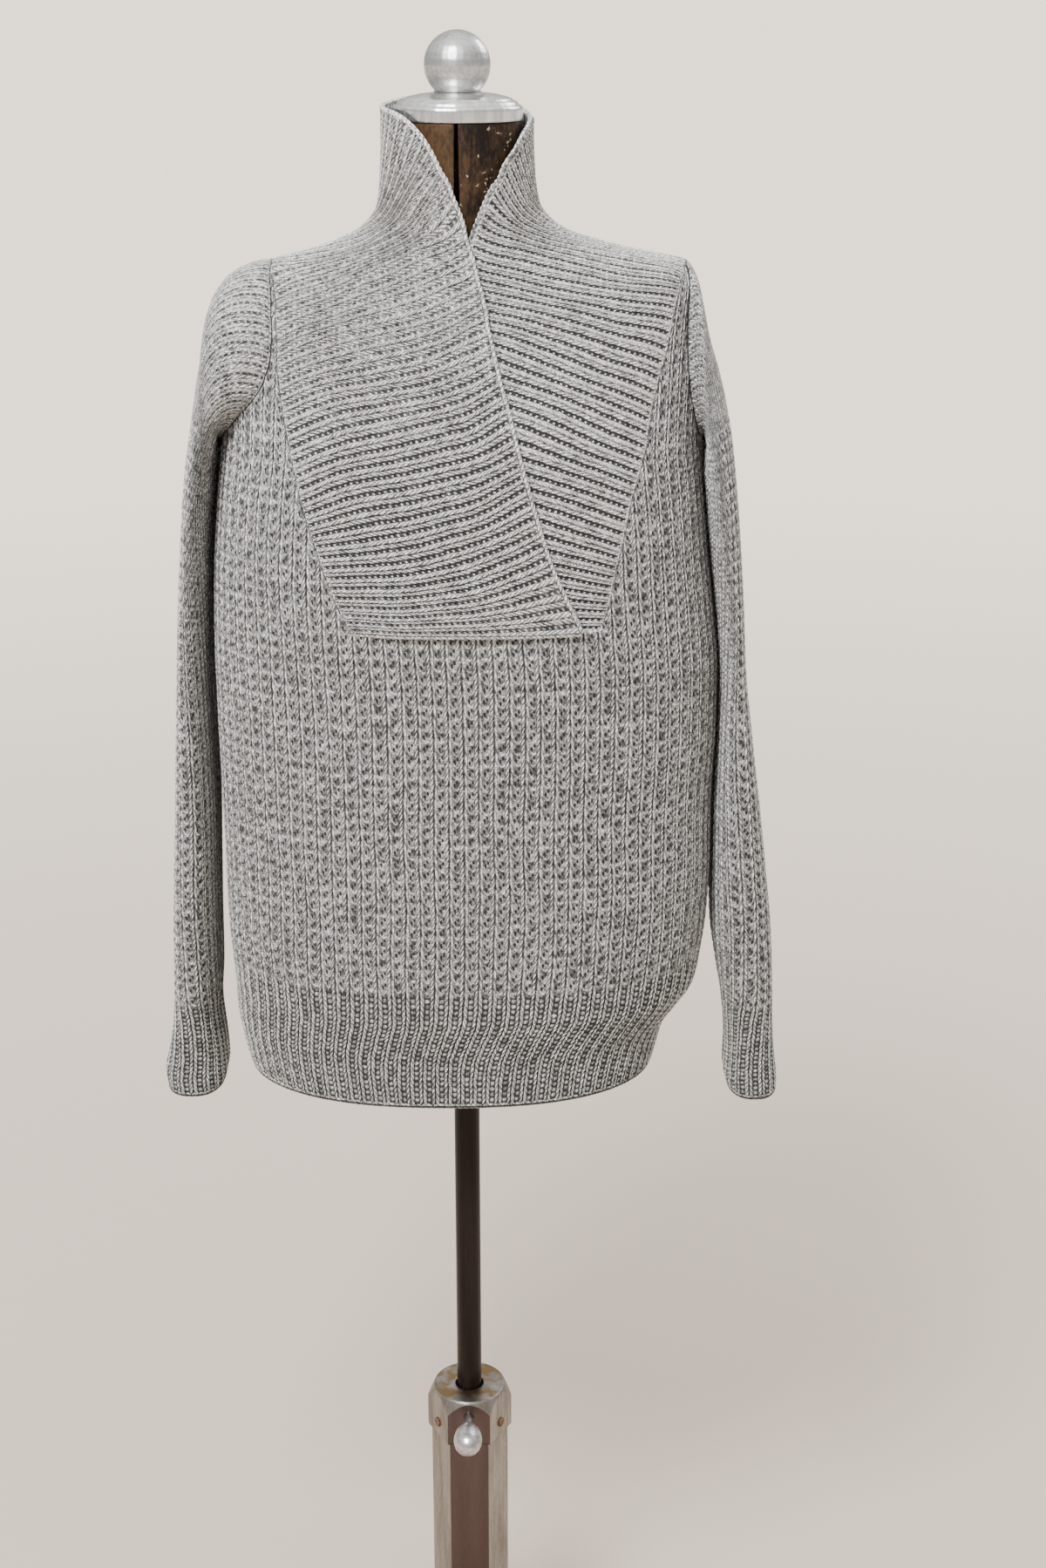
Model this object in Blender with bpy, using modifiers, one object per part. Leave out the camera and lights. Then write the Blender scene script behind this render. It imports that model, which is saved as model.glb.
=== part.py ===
"""Chunky knit pullover sweater with a deep shawl collar, on a dress form and its stand.

Metres, +Z up. The origin is on the floor under the pole. The sweater's front faces -Y.
+X is the wearer's left. The knit panels are walls laid on one garment surface, which
is a stack of rings: a ring has its own height, depth and width at the front, back
and sides, so that it can pass over the shoulders and up round the neck.
"""
import math

import bmesh
import bpy
import numpy as np
from mathutils import Matrix

# ---- driving dimensions -------------------------------------------------------------
WALL = 0.004            # thickness of the knit
SEAM = 0.0003           # gap between two panels at a seam
LAYER_IN = 0.0020       # how far the under half of the collar sinks where they cross
LAYER_OUT = 0.0032      # how far the upper half of the collar rises where they cross

NECK_RADIUS = 0.0490    # bare neck of the form
NECK_TOP = 1.5263
FORM_BOTTOM = 0.800
SLIT_TOP_WIDTH = 0.0026
SLIT_LOW_WIDTH = 0.0062
SLIT_DEPTH = 0.022
SLIT_LOW_HEIGHT = 1.400

CAP_RADIUS = 0.050
CAP_HEIGHT = 0.0204
BALL_RADIUS = 0.0255
BALL_FOOT = 0.0183      # radius of the flat the ball stands on
BALL_CENTRE = 0.0196    # above the cap's top

POLE_RADIUS = 0.01125
POLE_BOTTOM = 0.265
POLE_TOP = 1.150
HUB_TOP = 0.395
HUB_HEIGHT = 0.045
HUB_CORNER = 0.039      # centre to corner of the hexagon
HUB_FLAT = 0.0327       # radius of the flat ring on top
HUB_CHAMFER = 0.0135
HUB_MOUTH = 0.0131      # countersunk mouth round the pole
HUB_MOUTH_DEPTH = 0.009
HUB_BORE = POLE_RADIUS + 0.0003
COLUMN_CORNER = 0.0355
COLUMN_WALL = 0.004
COLUMN_BOTTOM = 0.050
CLAMP_HEIGHT = 0.380
CLAMP_SLOT = 0.0080
KNOB_CENTRE = -0.066
KNOB_LENGTH = 0.038
KNOB_RADIUS = 0.0144
KNOB_TAPER = 0.22       # how much slimmer the knob is towards its stem
SCREW_RADIUS = 0.0045
SCREW_HEAD = 0.0015
SCREW_HEIGHT = 0.363
BASE_CORNER = 0.046     # centre to corner of the eight-sided boss
BASE_SIDES = 8
BASE_TOP = 0.138
BASE_BOTTOM = 0.050     # where the column stands
BASE_FLOOR = 0.012
LEG_REACH = 0.290
FOOT_RADIUS = 0.014
FOOT_HEIGHT = 0.0122
FOOT_EDGE = 0.0015
RUN_GAP = 0.0003        # clearance between touching solids

# Rings of the garment's outer surface, from the hem to the collar's top. Heights are
# given at the sides, front and back, depths from the middle to the front and back.
RING_COLUMNS = ("side_z", "front_z", "back_z", "centre_x", "half_width",
                "front_depth", "back_depth")
RINGS = np.array([
    (0.742, 0.739, 0.742, -0.0125, 0.1755, 0.1080, 0.1040),    # 0 hem
    (0.760, 0.758, 0.760, -0.0125, 0.1800, 0.1095, 0.1060),
    (0.780, 0.779, 0.780, -0.0115, 0.1845, 0.1120, 0.1090),
    (0.800, 0.800, 0.800, -0.0060, 0.1920, 0.1155, 0.1130),
    (0.820, 0.820, 0.820, 0.0000, 0.1985, 0.1190, 0.1160),
    (0.845, 0.845, 0.845, 0.0015, 0.2015, 0.1210, 0.1170),     # 5 top of the rib band
    (0.880, 0.880, 0.880, 0.0025, 0.2045, 0.1220, 0.1170),
    (0.930, 0.930, 0.930, 0.0035, 0.2055, 0.1220, 0.1160),
    (0.987, 0.987, 0.987, 0.0030, 0.2055, 0.1210, 0.1140),
    (1.050, 1.050, 1.050, 0.0038, 0.2070, 0.1210, 0.1130),
    (1.100, 1.100, 1.100, 0.0035, 0.2068, 0.1220, 0.1120),     # 10
    (1.152, 1.152, 1.152, 0.0015, 0.2035, 0.1240, 0.1120),     # 11 foot of the collar
    (1.200, 1.200, 1.200, 0.0000, 0.1990, 0.1255, 0.1130),
    (1.245, 1.245, 1.245, 0.0000, 0.1945, 0.1235, 0.1120),
    (1.284, 1.284, 1.284, 0.0005, 0.1900, 0.1180, 0.1090),     # 14 underarm
    (1.325, 1.318, 1.322, 0.0020, 0.1870, 0.1080, 0.1050),
    (1.362, 1.342, 1.352, 0.0040, 0.1845, 0.0990, 0.1000),
    (1.392, 1.362, 1.376, 0.0080, 0.1800, 0.0910, 0.0950),
    (1.411, 1.376, 1.392, 0.0130, 0.1730, 0.0845, 0.0900),
    (1.4215, 1.388, 1.403, 0.0155, 0.1615, 0.0790, 0.0850),    # 19 shoulder tip
    (1.4280, 1.400, 1.415, 0.0110, 0.1340, 0.0730, 0.0790),
    (1.4365, 1.412, 1.428, 0.0060, 0.1030, 0.0670, 0.0730),
    (1.4470, 1.426, 1.441, 0.0020, 0.0780, 0.0625, 0.0670),
    (1.4660, 1.444, 1.456, 0.0000, 0.0625, 0.0600, 0.0625),
    (1.4900, 1.474, 1.484, -0.0005, 0.0595, 0.0580, 0.0595),
    (1.5150, 1.506, 1.512, -0.0005, 0.0585, 0.0570, 0.0580),   # 25
    (1.5400, 1.538, 1.542, -0.0005, 0.0585, 0.0570, 0.0580),   # 26 top of the collar
])
COLLAR_FOOT, UNDERARM, SHOULDER, COLLAR_TOP = 11, 14, 19, 26
NECK_RING = 23          # from here up the section is round, below it is squarer
BODY_SQUARENESS = 2.4
NECK_SQUARENESS = 2.0

# Front edge of each armhole, as the angle from the front at a ring, and its back edge.
ARMHOLE = np.array([
    # ring, right_front, right_back, left_front, left_back
    (14.0, 90.0, 90.0, 90.0, 90.0),
    (14.25, 76.0, 105.0, 80.0, 108.0),
    (14.36, 71.0, 108.0, 77.8, 112.6),
    (14.5, 67.0, 110.2, 76.0, 116.2),
    (15.0, 56.0, 114.0, 71.0, 125.0),
    (15.5, 51.0, 115.5, 69.0, 130.0),
    (16.0, 49.5, 116.0, 68.0, 132.0),
    (16.6, 51.0, 116.0, 68.0, 132.0),
    (17.3, 55.5, 115.0, 69.0, 130.0),
    (18.0, 62.0, 111.0, 71.0, 123.0),
    (18.5, 69.5, 106.0, 74.5, 113.0),
    (19.0, 82.0, 98.0, 82.0, 98.0),
])

# Seam between the front and the collar, at the wearer's right and left.
COLLAR_SEAM = np.array([
    # height, right_x, left_x
    (1.152, -0.0830, 0.1110),
    (1.176, -0.0945, 0.1170),
    (1.203, -0.1040, 0.1225),
    (1.224, -0.1110, 0.1270),
    (1.250, -0.1190, 0.1325),
    (1.290, -0.1275, 0.1440),
    (1.317, -0.1330, 0.1480),
    (1.343, -0.1365, 0.1545),
    (1.369, -0.1370, 0.1620),
    (1.395, -0.1380, 0.1670),
    (1.410, -0.1410, 0.1705),
    (1.4195, -0.1450, 0.1740),
])

# Free edge of each collar half, one row per height that its rib leaves the seam at.
FREE_EDGE = np.array([
    # seam_height, over_x, over_z, under_x, under_z
    (1.152, 0.0945, 1.1520, -0.0450, 1.1520),
    (1.194, 0.0700, 1.2080, -0.0360, 1.2080),
    (1.220, 0.0575, 1.2485, -0.0300, 1.2485),
    (1.270, 0.0415, 1.3080, -0.0210, 1.3080),
    (1.310, 0.0305, 1.3470, -0.0140, 1.3470),
    (1.341, 0.0215, 1.3870, -0.0060, 1.3850),
    (1.368, 0.0165, 1.4080, 0.0005, 1.4080),
    (1.395, 0.0105, 1.4300, 0.0085, 1.4300),
    (1.413, 0.0050, 1.4500, 0.0160, 1.4530),
    (1.4215, -0.0040, 1.4745, 0.0290, 1.4800),
])

# Behind the shoulder tip: the angle at the back neckline, and where that rib ends.
COLLAR_BACK = np.array([
    # seam_angle, over_angle, over_ring, under_angle, under_ring
    (90.0, 6.5, 24.28, 35.0, 24.20),
    (98.0, 12.0, 24.55, 41.0, 24.50),
    (106.0, 20.0, 25.00, 53.0, 24.80),
    (115.0, 33.0, 25.45, 66.0, 25.15),
    (124.0, 51.0, 25.90, 80.0, 25.35),
    (134.0, 75.0, 26.00, 96.0, 25.50),
    (145.0, 103.0, 26.00, 116.0, 25.68),
    (156.0, 130.0, 26.00, 137.0, 25.86),
    (168.0, 156.0, 26.00, 159.0, 25.97),
    (180.0, 180.0, 26.00, 180.0, 26.00),
])

# Loops of the hanging sleeves below the armhole, each through an outer and an inner
# point, with its reach to the front and back of the middle.
SLEEVE_RIGHT = np.array([
    # outer_x, outer_z, inner_x, inner_z, front_y, back_y
    (0.1640, 1.4210, 0.1908, 1.2868, 0.0765, 0.0740),
    (0.1770, 1.4170, 0.1925, 1.2835, 0.0785, 0.0760),
    (0.1880, 1.4065, 0.1945, 1.2720, 0.0790, 0.0760),
    (0.1940, 1.3880, 0.1965, 1.2580, 0.0780, 0.0760),
    (0.1980, 1.3640, 0.1980, 1.2440, 0.0765, 0.0755),
    (0.2045, 1.3340, 0.2005, 1.2280, 0.0745, 0.0745),
    (0.2110, 1.3000, 0.2025, 1.2080, 0.0720, 0.0735),
    (0.2180, 1.2600, 0.2040, 1.1840, 0.0690, 0.0725),
    (0.2235, 1.2120, 0.2060, 1.1540, 0.0665, 0.0715),
    (0.2285, 1.1580, 0.2080, 1.1180, 0.0645, 0.0710),
    (0.2330, 1.1000, 0.2090, 1.0760, 0.0630, 0.0705),
    (0.2375, 1.0360, 0.2090, 1.0260, 0.0615, 0.0695),
    (0.2415, 0.9750, 0.2090, 0.9750, 0.0600, 0.0680),
    (0.2455, 0.9200, 0.2105, 0.9200, 0.0585, 0.0660),
    (0.2490, 0.8650, 0.2120, 0.8650, 0.0565, 0.0640),
    (0.2512, 0.8180, 0.2128, 0.8180, 0.0540, 0.0615),
    (0.2535, 0.7850, 0.2150, 0.7850, 0.0490, 0.0560),
    (0.2590, 0.7520, 0.2120, 0.7520, 0.0450, 0.0520),
    (0.2640, 0.7290, 0.2105, 0.7290, 0.0430, 0.0500),
    (0.2630, 0.7160, 0.2125, 0.7160, 0.0425, 0.0495),
])
SLEEVE_LEFT = np.array([
    (0.1810, 1.4195, 0.1918, 1.2868, 0.0600, 0.0800),
    (0.1835, 1.4160, 0.1935, 1.2835, 0.0640, 0.0815),
    (0.1870, 1.4080, 0.1955, 1.2720, 0.0670, 0.0820),
    (0.1900, 1.3920, 0.1975, 1.2580, 0.0680, 0.0815),
    (0.1955, 1.3670, 0.1988, 1.2440, 0.0685, 0.0805),
    (0.2045, 1.3380, 0.2008, 1.2280, 0.0685, 0.0790),
    (0.2130, 1.3020, 0.2028, 1.2080, 0.0680, 0.0775),
    (0.2190, 1.2600, 0.2055, 1.1840, 0.0670, 0.0760),
    (0.2240, 1.2120, 0.2090, 1.1540, 0.0655, 0.0745),
    (0.2285, 1.1580, 0.2125, 1.1180, 0.0640, 0.0735),
    (0.2325, 1.1000, 0.2145, 1.0760, 0.0630, 0.0725),
    (0.2405, 1.0360, 0.2150, 1.0260, 0.0615, 0.0710),
    (0.2490, 0.9750, 0.2140, 0.9750, 0.0600, 0.0690),
    (0.2560, 0.9200, 0.2130, 0.9200, 0.0585, 0.0670),
    (0.2625, 0.8650, 0.2120, 0.8650, 0.0565, 0.0645),
    (0.2655, 0.8180, 0.2190, 0.8180, 0.0540, 0.0615),
    (0.2670, 0.7850, 0.2245, 0.7850, 0.0490, 0.0560),
    (0.2695, 0.7500, 0.2275, 0.7500, 0.0450, 0.0520),
    (0.2725, 0.7260, 0.2270, 0.7260, 0.0430, 0.0500),
    (0.2735, 0.7130, 0.2290, 0.7130, 0.0425, 0.0495),
])
SLEEVE_SQUARENESS = 2.5
# How the first loops leave the armhole: share of the hanging shape, and how far they
# first stand straight out of the seam.
SLEEVE_HEAD = ((0.20, 0.0045), (0.50, 0.0065), (0.85, 0.0070))

# Rings of the bare form below its yoke: width and depths of a general figure.
FORM_RINGS = np.array([
    # height, half_width, front_depth, back_depth
    (0.800, 0.158, 0.090, 0.092),
    (0.812, 0.166, 0.098, 0.100),
    (0.880, 0.171, 0.101, 0.105),
    (0.960, 0.156, 0.096, 0.096),
    (1.040, 0.128, 0.087, 0.083),
    (1.110, 0.135, 0.098, 0.086),
    (1.180, 0.152, 0.109, 0.092),
    (1.230, 0.160, 0.108, 0.097),
    (1.284, 0.166, 0.103, 0.096),
])
YOKE_INSET = 0.0017     # form to the garment's inner face at the neck and shoulders


# ---- the garment's surface -----------------------------------------------------------
def smooth_rows(table, at):
    """Rows of a table read at fractional row numbers, on a curve with no overshoot."""
    at = np.clip(np.asarray(at, dtype=float), 0.0, len(table) - 1.0)
    step = np.diff(table, axis=0)
    slope = np.zeros_like(table)
    same_way = step[1:] * step[:-1] > 0.0
    total = step[1:] + step[:-1]
    slope[1:-1] = np.where(same_way, 2.0 * step[1:] * step[:-1]
                           / np.where(same_way, total, 1.0), 0.0)
    slope[0], slope[-1] = step[0], step[-1]
    low = np.minimum(at.astype(int), len(table) - 2)
    t = (at - low)[..., None]
    return (table[low] * (2.0 * t**3 - 3.0 * t**2 + 1.0) + slope[low] * (t**3 - 2.0 * t**2 + t)
            + table[low + 1] * (3.0 * t**2 - 2.0 * t**3) + slope[low + 1] * (t**3 - t**2))


def signed_power(value, power):
    return np.sign(value) * np.abs(value) ** power


def squareness(ring):
    """Exponent of a ring's section, from the squarish body to the round neck."""
    return np.interp(ring, (SHOULDER, NECK_RING), (BODY_SQUARENESS, NECK_SQUARENESS))


def ring_point(values, power, angle):
    """Point of a ring at an angle: 0 is the front, +90 degrees the wearer's left."""
    side_z, front_z, back_z, centre_x, half_width, front_depth, back_depth = (
        values[..., column] for column in range(len(RING_COLUMNS)))
    sine, cosine = np.sin(angle), np.cos(angle)
    facing_front = cosine > 0.0
    depth = np.where(facing_front, front_depth, back_depth)
    end_z = np.where(facing_front, front_z, back_z)
    x = centre_x + half_width * signed_power(sine, power)
    y = -depth * signed_power(cosine, power)
    z = side_z * sine**2 + end_z * cosine**2
    return np.stack([x, y, z], axis=-1)


def garment_point(angle, ring):
    angle, ring = np.broadcast_arrays(np.asarray(angle, float), np.asarray(ring, float))
    return ring_point(smooth_rows(RINGS, ring), 2.0 / squareness(ring), angle)


def garment_normal(angle, ring):
    """Outward unit normal of the garment's surface, by small steps along it."""
    turn, climb = 0.02, 0.05
    up = garment_point(angle, np.minimum(np.asarray(ring) + climb, COLLAR_TOP))
    down = garment_point(angle, np.maximum(np.asarray(ring) - climb, 0.0))
    across = garment_point(angle + turn, ring) - garment_point(angle - turn, ring)
    normal = np.cross(across, up - down)
    return normal / np.linalg.norm(normal, axis=-1, keepdims=True)


def garment_grid(angle, ring, rise=0.0):
    """Outer and inner faces of a wall on the garment's surface."""
    point, normal = garment_point(angle, ring), garment_normal(angle, ring)
    rise = np.broadcast_to(np.asarray(rise, float), point.shape[:-1])[..., None]
    return point + normal * rise, point + normal * (rise - WALL)


def ring_angle(x, ring):
    """Angle at which a ring's front half passes a given x."""
    values = smooth_rows(RINGS, ring)
    ratio = (x - values[..., 3]) / values[..., 4]
    return np.arcsin(np.clip(signed_power(ratio, squareness(ring) / 2.0), -1.0, 1.0))


def locate(x, z):
    """Angle and ring of the front point at x and height z."""
    low, high = 0.0, float(COLLAR_TOP)
    for _ in range(40):
        ring = (low + high) / 2.0
        height = garment_point(ring_angle(x, ring), ring)[2]
        low, high = (ring, high) if height < z else (low, ring)
    return float(ring_angle(x, ring)), ring


# ---- mesh helpers --------------------------------------------------------------------
def new_collection(name):
    collection = bpy.data.collections.new(name)
    bpy.context.scene.collection.children.link(collection)
    return collection


def material(name, colour, roughness, metallic=0.0):
    result = bpy.data.materials.new(name)
    result.use_nodes = True
    shader = result.node_tree.nodes["Principled BSDF"]
    shader.inputs["Base Color"].default_value = (*colour, 1.0)
    shader.inputs["Roughness"].default_value = roughness
    shader.inputs["Metallic"].default_value = metallic
    return result


def mesh_object(name, vertices, faces, finish, smooth_angle=None):
    mesh = bpy.data.meshes.new(name)
    mesh.from_pydata([tuple(point) for point in vertices], [], faces)
    mesh.update()
    if smooth_angle is not None:
        mesh.shade_smooth()
        mesh.set_sharp_from_angle(angle=math.radians(smooth_angle))
    return link_object(bpy.data.objects.new(name, mesh), finish)


def link_object(obj, finish):
    obj.data.materials.clear()
    obj.data.materials.append(finish)
    PARTS.objects.link(obj)
    return obj


def bmesh_object(name, shape, finish):
    mesh = bpy.data.meshes.new(name)
    shape.to_mesh(mesh)
    shape.free()
    return link_object(bpy.data.objects.new(name, mesh), finish)


# Each rim face is split from its outer corner that is further along this direction, so
# the rims of two pieces that meet at a seam twist alike.
RIM_LEAN = np.array([0.11, 0.37, 1.0])


def wall_object(name, outer, inner, present, finish, closed=False):
    """Solid wall between two matching point grids, over the cells that are present."""
    rows, columns = outer.shape[:2]
    span = columns if closed else columns - 1
    vertices = np.concatenate([outer.reshape(-1, 3), inner.reshape(-1, 3)])
    below = rows * columns
    faces, used = [], set()
    for i in range(rows - 1):
        for j in range(span):
            if not present[i, j]:
                continue
            right = (j + 1) % columns
            corners = (i * columns + j, i * columns + right,
                       (i + 1) * columns + right, (i + 1) * columns + j)
            faces.append(corners)
            faces.append(tuple(below + corner for corner in reversed(corners)))
            used.update(zip(corners, corners[1:] + corners[:1]))
    height = vertices @ RIM_LEAN
    for start, end in used:
        if (end, start) in used:
            continue
        rim = (end, start, below + start, below + end)
        faces.append(rim if height[end] > height[start] else rim[1:] + rim[:1])
    kept = sorted({corner for face in faces for corner in face})
    renumber = {corner: number for number, corner in enumerate(kept)}
    faces = [tuple(renumber[corner] for corner in face) for face in faces]
    return mesh_object(name, vertices[kept], faces, finish, smooth_angle=40.0)


def pull_back(grids, edge, inward, amount):
    """Move an edge of both faces of a wall squarely away from its seam."""
    for grid in grids:
        step = grid[inward] - grid[edge]
        along = np.gradient(grid[edge], axis=0)
        slant = (np.sum(step * along, axis=-1, keepdims=True)
                 / np.sum(along * along, axis=-1, keepdims=True))
        step = step - along * slant
        grid[edge] += step / np.linalg.norm(step, axis=-1, keepdims=True) * amount


# ---- cloth ---------------------------------------------------------------------------
ARM_RINGS = ARMHOLE[:, 0]
BODY_RINGS = np.arange(0.0, UNDERARM)
FRONT_STRIP_RIGHT, FRONT_MIDDLE, FRONT_STRIP_LEFT = 5, 11, 4    # cells across the front
HALF_SEAM = SEAM / 2.0


def armhole_angle(column, ring):
    return np.radians(np.interp(ring, ARM_RINGS, ARMHOLE[:, column]))


def seam_angle(side_column, ring):
    """Angle of the front's seam with the collar, at a ring above the collar's foot."""
    spots = np.array([locate(row[side_column], row[0]) for row in COLLAR_SEAM])
    return np.interp(ring, spots[:, 1], spots[:, 0])


def front_rows():
    return np.concatenate([BODY_RINGS, ARM_RINGS])


def make_front(finish):
    """Front with its rib hem, cut out at the top for the collar."""
    rows = front_rows()
    right_end = -np.where(rows > UNDERARM, armhole_angle(1, rows), math.radians(90.0))
    left_end = np.where(rows > UNDERARM, armhole_angle(3, rows), math.radians(90.0))
    above = np.maximum(rows, COLLAR_FOOT)
    right_seam, left_seam = seam_angle(1, above), seam_angle(2, above)
    angle = np.concatenate([
        np.linspace(right_end, right_seam, FRONT_STRIP_RIGHT + 1)[:-1],
        np.linspace(right_seam, left_seam, FRONT_MIDDLE + 1)[:-1],
        np.linspace(left_seam, left_end, FRONT_STRIP_LEFT + 1)]).T
    ring = np.broadcast_to(rows[:, None], angle.shape)
    grids = garment_grid(angle, ring)
    notch_left, notch_right = FRONT_STRIP_RIGHT, FRONT_STRIP_RIGHT + FRONT_MIDDLE
    pull_back(grids, np.s_[:, 0], np.s_[:, 1], HALF_SEAM)
    pull_back(grids, np.s_[:, -1], np.s_[:, -2], HALF_SEAM)
    top = np.s_[COLLAR_FOOT + 1:]
    pull_back(grids, (top, notch_left), (top, notch_left - 1), HALF_SEAM)
    pull_back(grids, (top, notch_right), (top, notch_right + 1), HALF_SEAM)
    foot = np.s_[notch_left:notch_right + 1]
    pull_back(grids, (COLLAR_FOOT, foot), (COLLAR_FOOT - 1, foot), HALF_SEAM)
    pull_back(grids, np.s_[-1], np.s_[-2], HALF_SEAM)
    present = np.ones((len(rows) - 1, angle.shape[1] - 1), bool)
    present[COLLAR_FOOT:, notch_left:notch_right] = False
    return wall_object("front", *grids, present, finish)


def back_shares():
    """Places across the back that the collar's ribs meet, from one armhole to the other."""
    angles = COLLAR_BACK[1:, 0]
    half = (angles - angles[0]) / (180.0 - angles[0]) / 2.0
    return np.concatenate([half, 1.0 - half[-2::-1]])


def make_back(finish):
    """Back with its rib hem, up to the wide back neckline."""
    rows = front_rows()
    quarter = math.radians(90.0)
    above = rows > UNDERARM
    right = -np.where(above, armhole_angle(2, rows), quarter)
    left = np.where(above, armhole_angle(4, rows), quarter) - 2.0 * math.pi
    angle = left[:, None] + (right - left)[:, None] * back_shares()
    ring = np.broadcast_to(rows[:, None], angle.shape)
    grids = garment_grid(angle, ring)
    pull_back(grids, np.s_[:, 0], np.s_[:, 1], HALF_SEAM)
    pull_back(grids, np.s_[:, -1], np.s_[:, -2], HALF_SEAM)
    pull_back(grids, np.s_[-1], np.s_[-2], HALF_SEAM)
    present = np.ones((len(rows) - 1, angle.shape[1] - 1), bool)
    return wall_object("back", *grids, present, finish)


def armhole_loop(side):
    """Angles and rings round an armhole, from its top down the front and up the back."""
    front_column, back_column = (1, 2) if side < 0 else (3, 4)
    top, bottom = len(ARM_RINGS) - 1, 0
    front = [(ARMHOLE[row, front_column], ARM_RINGS[row]) for row in range(top, bottom, -1)]
    back = [(ARMHOLE[row, back_column], ARM_RINGS[row]) for row in range(1, top + 1)]
    loop = [(90.0, ARM_RINGS[top])] + front + [(90.0, ARM_RINGS[bottom])] + back
    angle, ring = np.array(loop).T
    return np.radians(angle) * side, ring


def sleeve_faces(side, loops):
    """Outer and inner faces of a sleeve, from its armhole down to its cuff."""
    angle, ring = armhole_loop(side)
    count = len(angle)
    top_out, top_in = garment_grid(angle, ring)
    turn = 2.0 * math.pi * np.arange(count) / count
    power = 2.0 / SLEEVE_SQUARENESS
    outward, forward = signed_power(np.cos(turn), power), signed_power(np.sin(turn), power)
    outer = [top_out]
    for outer_x, outer_z, inner_x, inner_z, front_y, back_y in loops:
        middle = np.array([(outer_x + inner_x) / 2.0, 0.0, (outer_z + inner_z) / 2.0])
        reach = np.array([(outer_x - inner_x) / 2.0, 0.0, (outer_z - inner_z) / 2.0])
        depth = np.where(forward > 0.0, front_y, back_y)
        points = middle + outward[:, None] * reach
        points[:, 0] *= side
        points[:, 1] = -forward * depth
        outer.append(points)
    seam_normal = (top_out - top_in) / WALL
    for loop, (share, stand) in enumerate(SLEEVE_HEAD, start=1):
        straight = top_out + seam_normal * stand * (1.0 - seam_normal[:, 2:])
        outer[loop] = straight + (outer[loop] - straight) * share
    outer = np.array(outer)
    along = np.gradient(outer, axis=0)
    around = np.roll(outer, -1, axis=1) - np.roll(outer, 1, axis=1)
    normal = np.cross(around, along) * side
    normal /= np.linalg.norm(normal, axis=-1, keepdims=True)
    inner = outer - normal * WALL
    inner[0] = top_in
    return outer, inner


def make_sleeve(name, side, loops, finish):
    """Sleeve with its ribbed cuff, hanging flat at the side and open at both ends."""
    outer, inner = sleeve_faces(side, loops)
    pull_back((outer, inner), np.s_[0], np.s_[1], HALF_SEAM)
    if side > 0:
        outer, inner = outer[:, ::-1], inner[:, ::-1]
    present = np.ones((len(outer) - 1, outer.shape[1]), bool)
    return wall_object(name, outer[::-1], inner[::-1], present, finish, closed=True)


COLLAR_CELLS = 9        # from the seam to the free edge
CROSSING = np.array([
    # ring at the seam, share of the rib where the halves cross, how much they part
    (11.0, 0.20, 1.0),
    (12.0, 0.36, 1.0),
    (14.0, 0.60, 1.0),
    (16.0, 0.76, 1.0),
    (18.0, 0.92, 1.0),
    (18.5, 0.94, 0.6),
    (19.0, 1.00, 0.0),
])
CROSSING_SLOPE = 0.2    # share of the rib over which a half rises or sinks


def make_collar(name, side, rise, finish):
    """Half of the shawl collar, knit from its seam out to its free edge."""
    front = front_rows()[COLLAR_FOOT:]
    seam_column = 1 if side < 0 else 2
    edge_x, edge_z = back_angle, back_ring = (1, 2) if side < 0 else (3, 4)
    spots = np.array([locate(row[edge_x], row[edge_z]) for row in FREE_EDGE])
    seam_spots = np.array([locate(row[seam_column], row[0]) for row in COLLAR_SEAM])
    ring_of_height = np.interp(FREE_EDGE[:, 0], RINGS[:, 0], np.arange(len(RINGS)))
    seam = np.concatenate([seam_angle(seam_column, front),
                           side * np.radians(COLLAR_BACK[:, 0])])
    seam_ring = np.concatenate([front, np.full(len(COLLAR_BACK), float(SHOULDER))])
    end = np.concatenate([np.interp(front, ring_of_height, spots[:, 0]),
                          side * np.radians(COLLAR_BACK[:, back_angle])])
    end_ring = np.concatenate([np.interp(front, ring_of_height, spots[:, 1]),
                               COLLAR_BACK[:, back_ring]])
    share = np.linspace(0.0, 1.0, COLLAR_CELLS + 1)
    angle = seam[:, None] + (end - seam)[:, None] * share
    ring = seam_ring[:, None] + (end_ring - seam_ring)[:, None] * share
    crossing = np.interp(seam_ring, CROSSING[:, 0], CROSSING[:, 1])[:, None]
    parting = np.where(np.arange(len(seam)) < len(front),
                       np.interp(seam_ring, CROSSING[:, 0], CROSSING[:, 2]), 0.0)[:, None]
    climb = np.clip((share - crossing) / CROSSING_SLOPE + 1.0, 0.0, 1.0)
    grids = garment_grid(angle, ring, rise * parting * climb**2 * (3.0 - 2.0 * climb))
    if side > 0:
        grids = tuple(grid[:, ::-1] for grid in grids)
    seam_edge, inside = (0, 1) if side < 0 else (-1, -2)
    pull_back(grids, np.s_[:, seam_edge], np.s_[:, inside], HALF_SEAM)
    pull_back(grids, np.s_[0], np.s_[1], HALF_SEAM)
    pull_back(grids, np.s_[-1], np.s_[-2], HALF_SEAM)
    present = np.ones((grids[0].shape[0] - 1, COLLAR_CELLS), bool)
    return wall_object(name, *grids, present, finish)


# ---- the form ------------------------------------------------------------------------
FORM_SIDES = 36
NECK_STEPS = 4
NECK_START = 0.22       # share of the neck's height over which it draws in
YOKE_HOLLOW = 0.004     # how much deeper the form lies under the collar's crossing
ARM_HALF_WIDTH = 0.168  # of the form, where the arms would join


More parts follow.
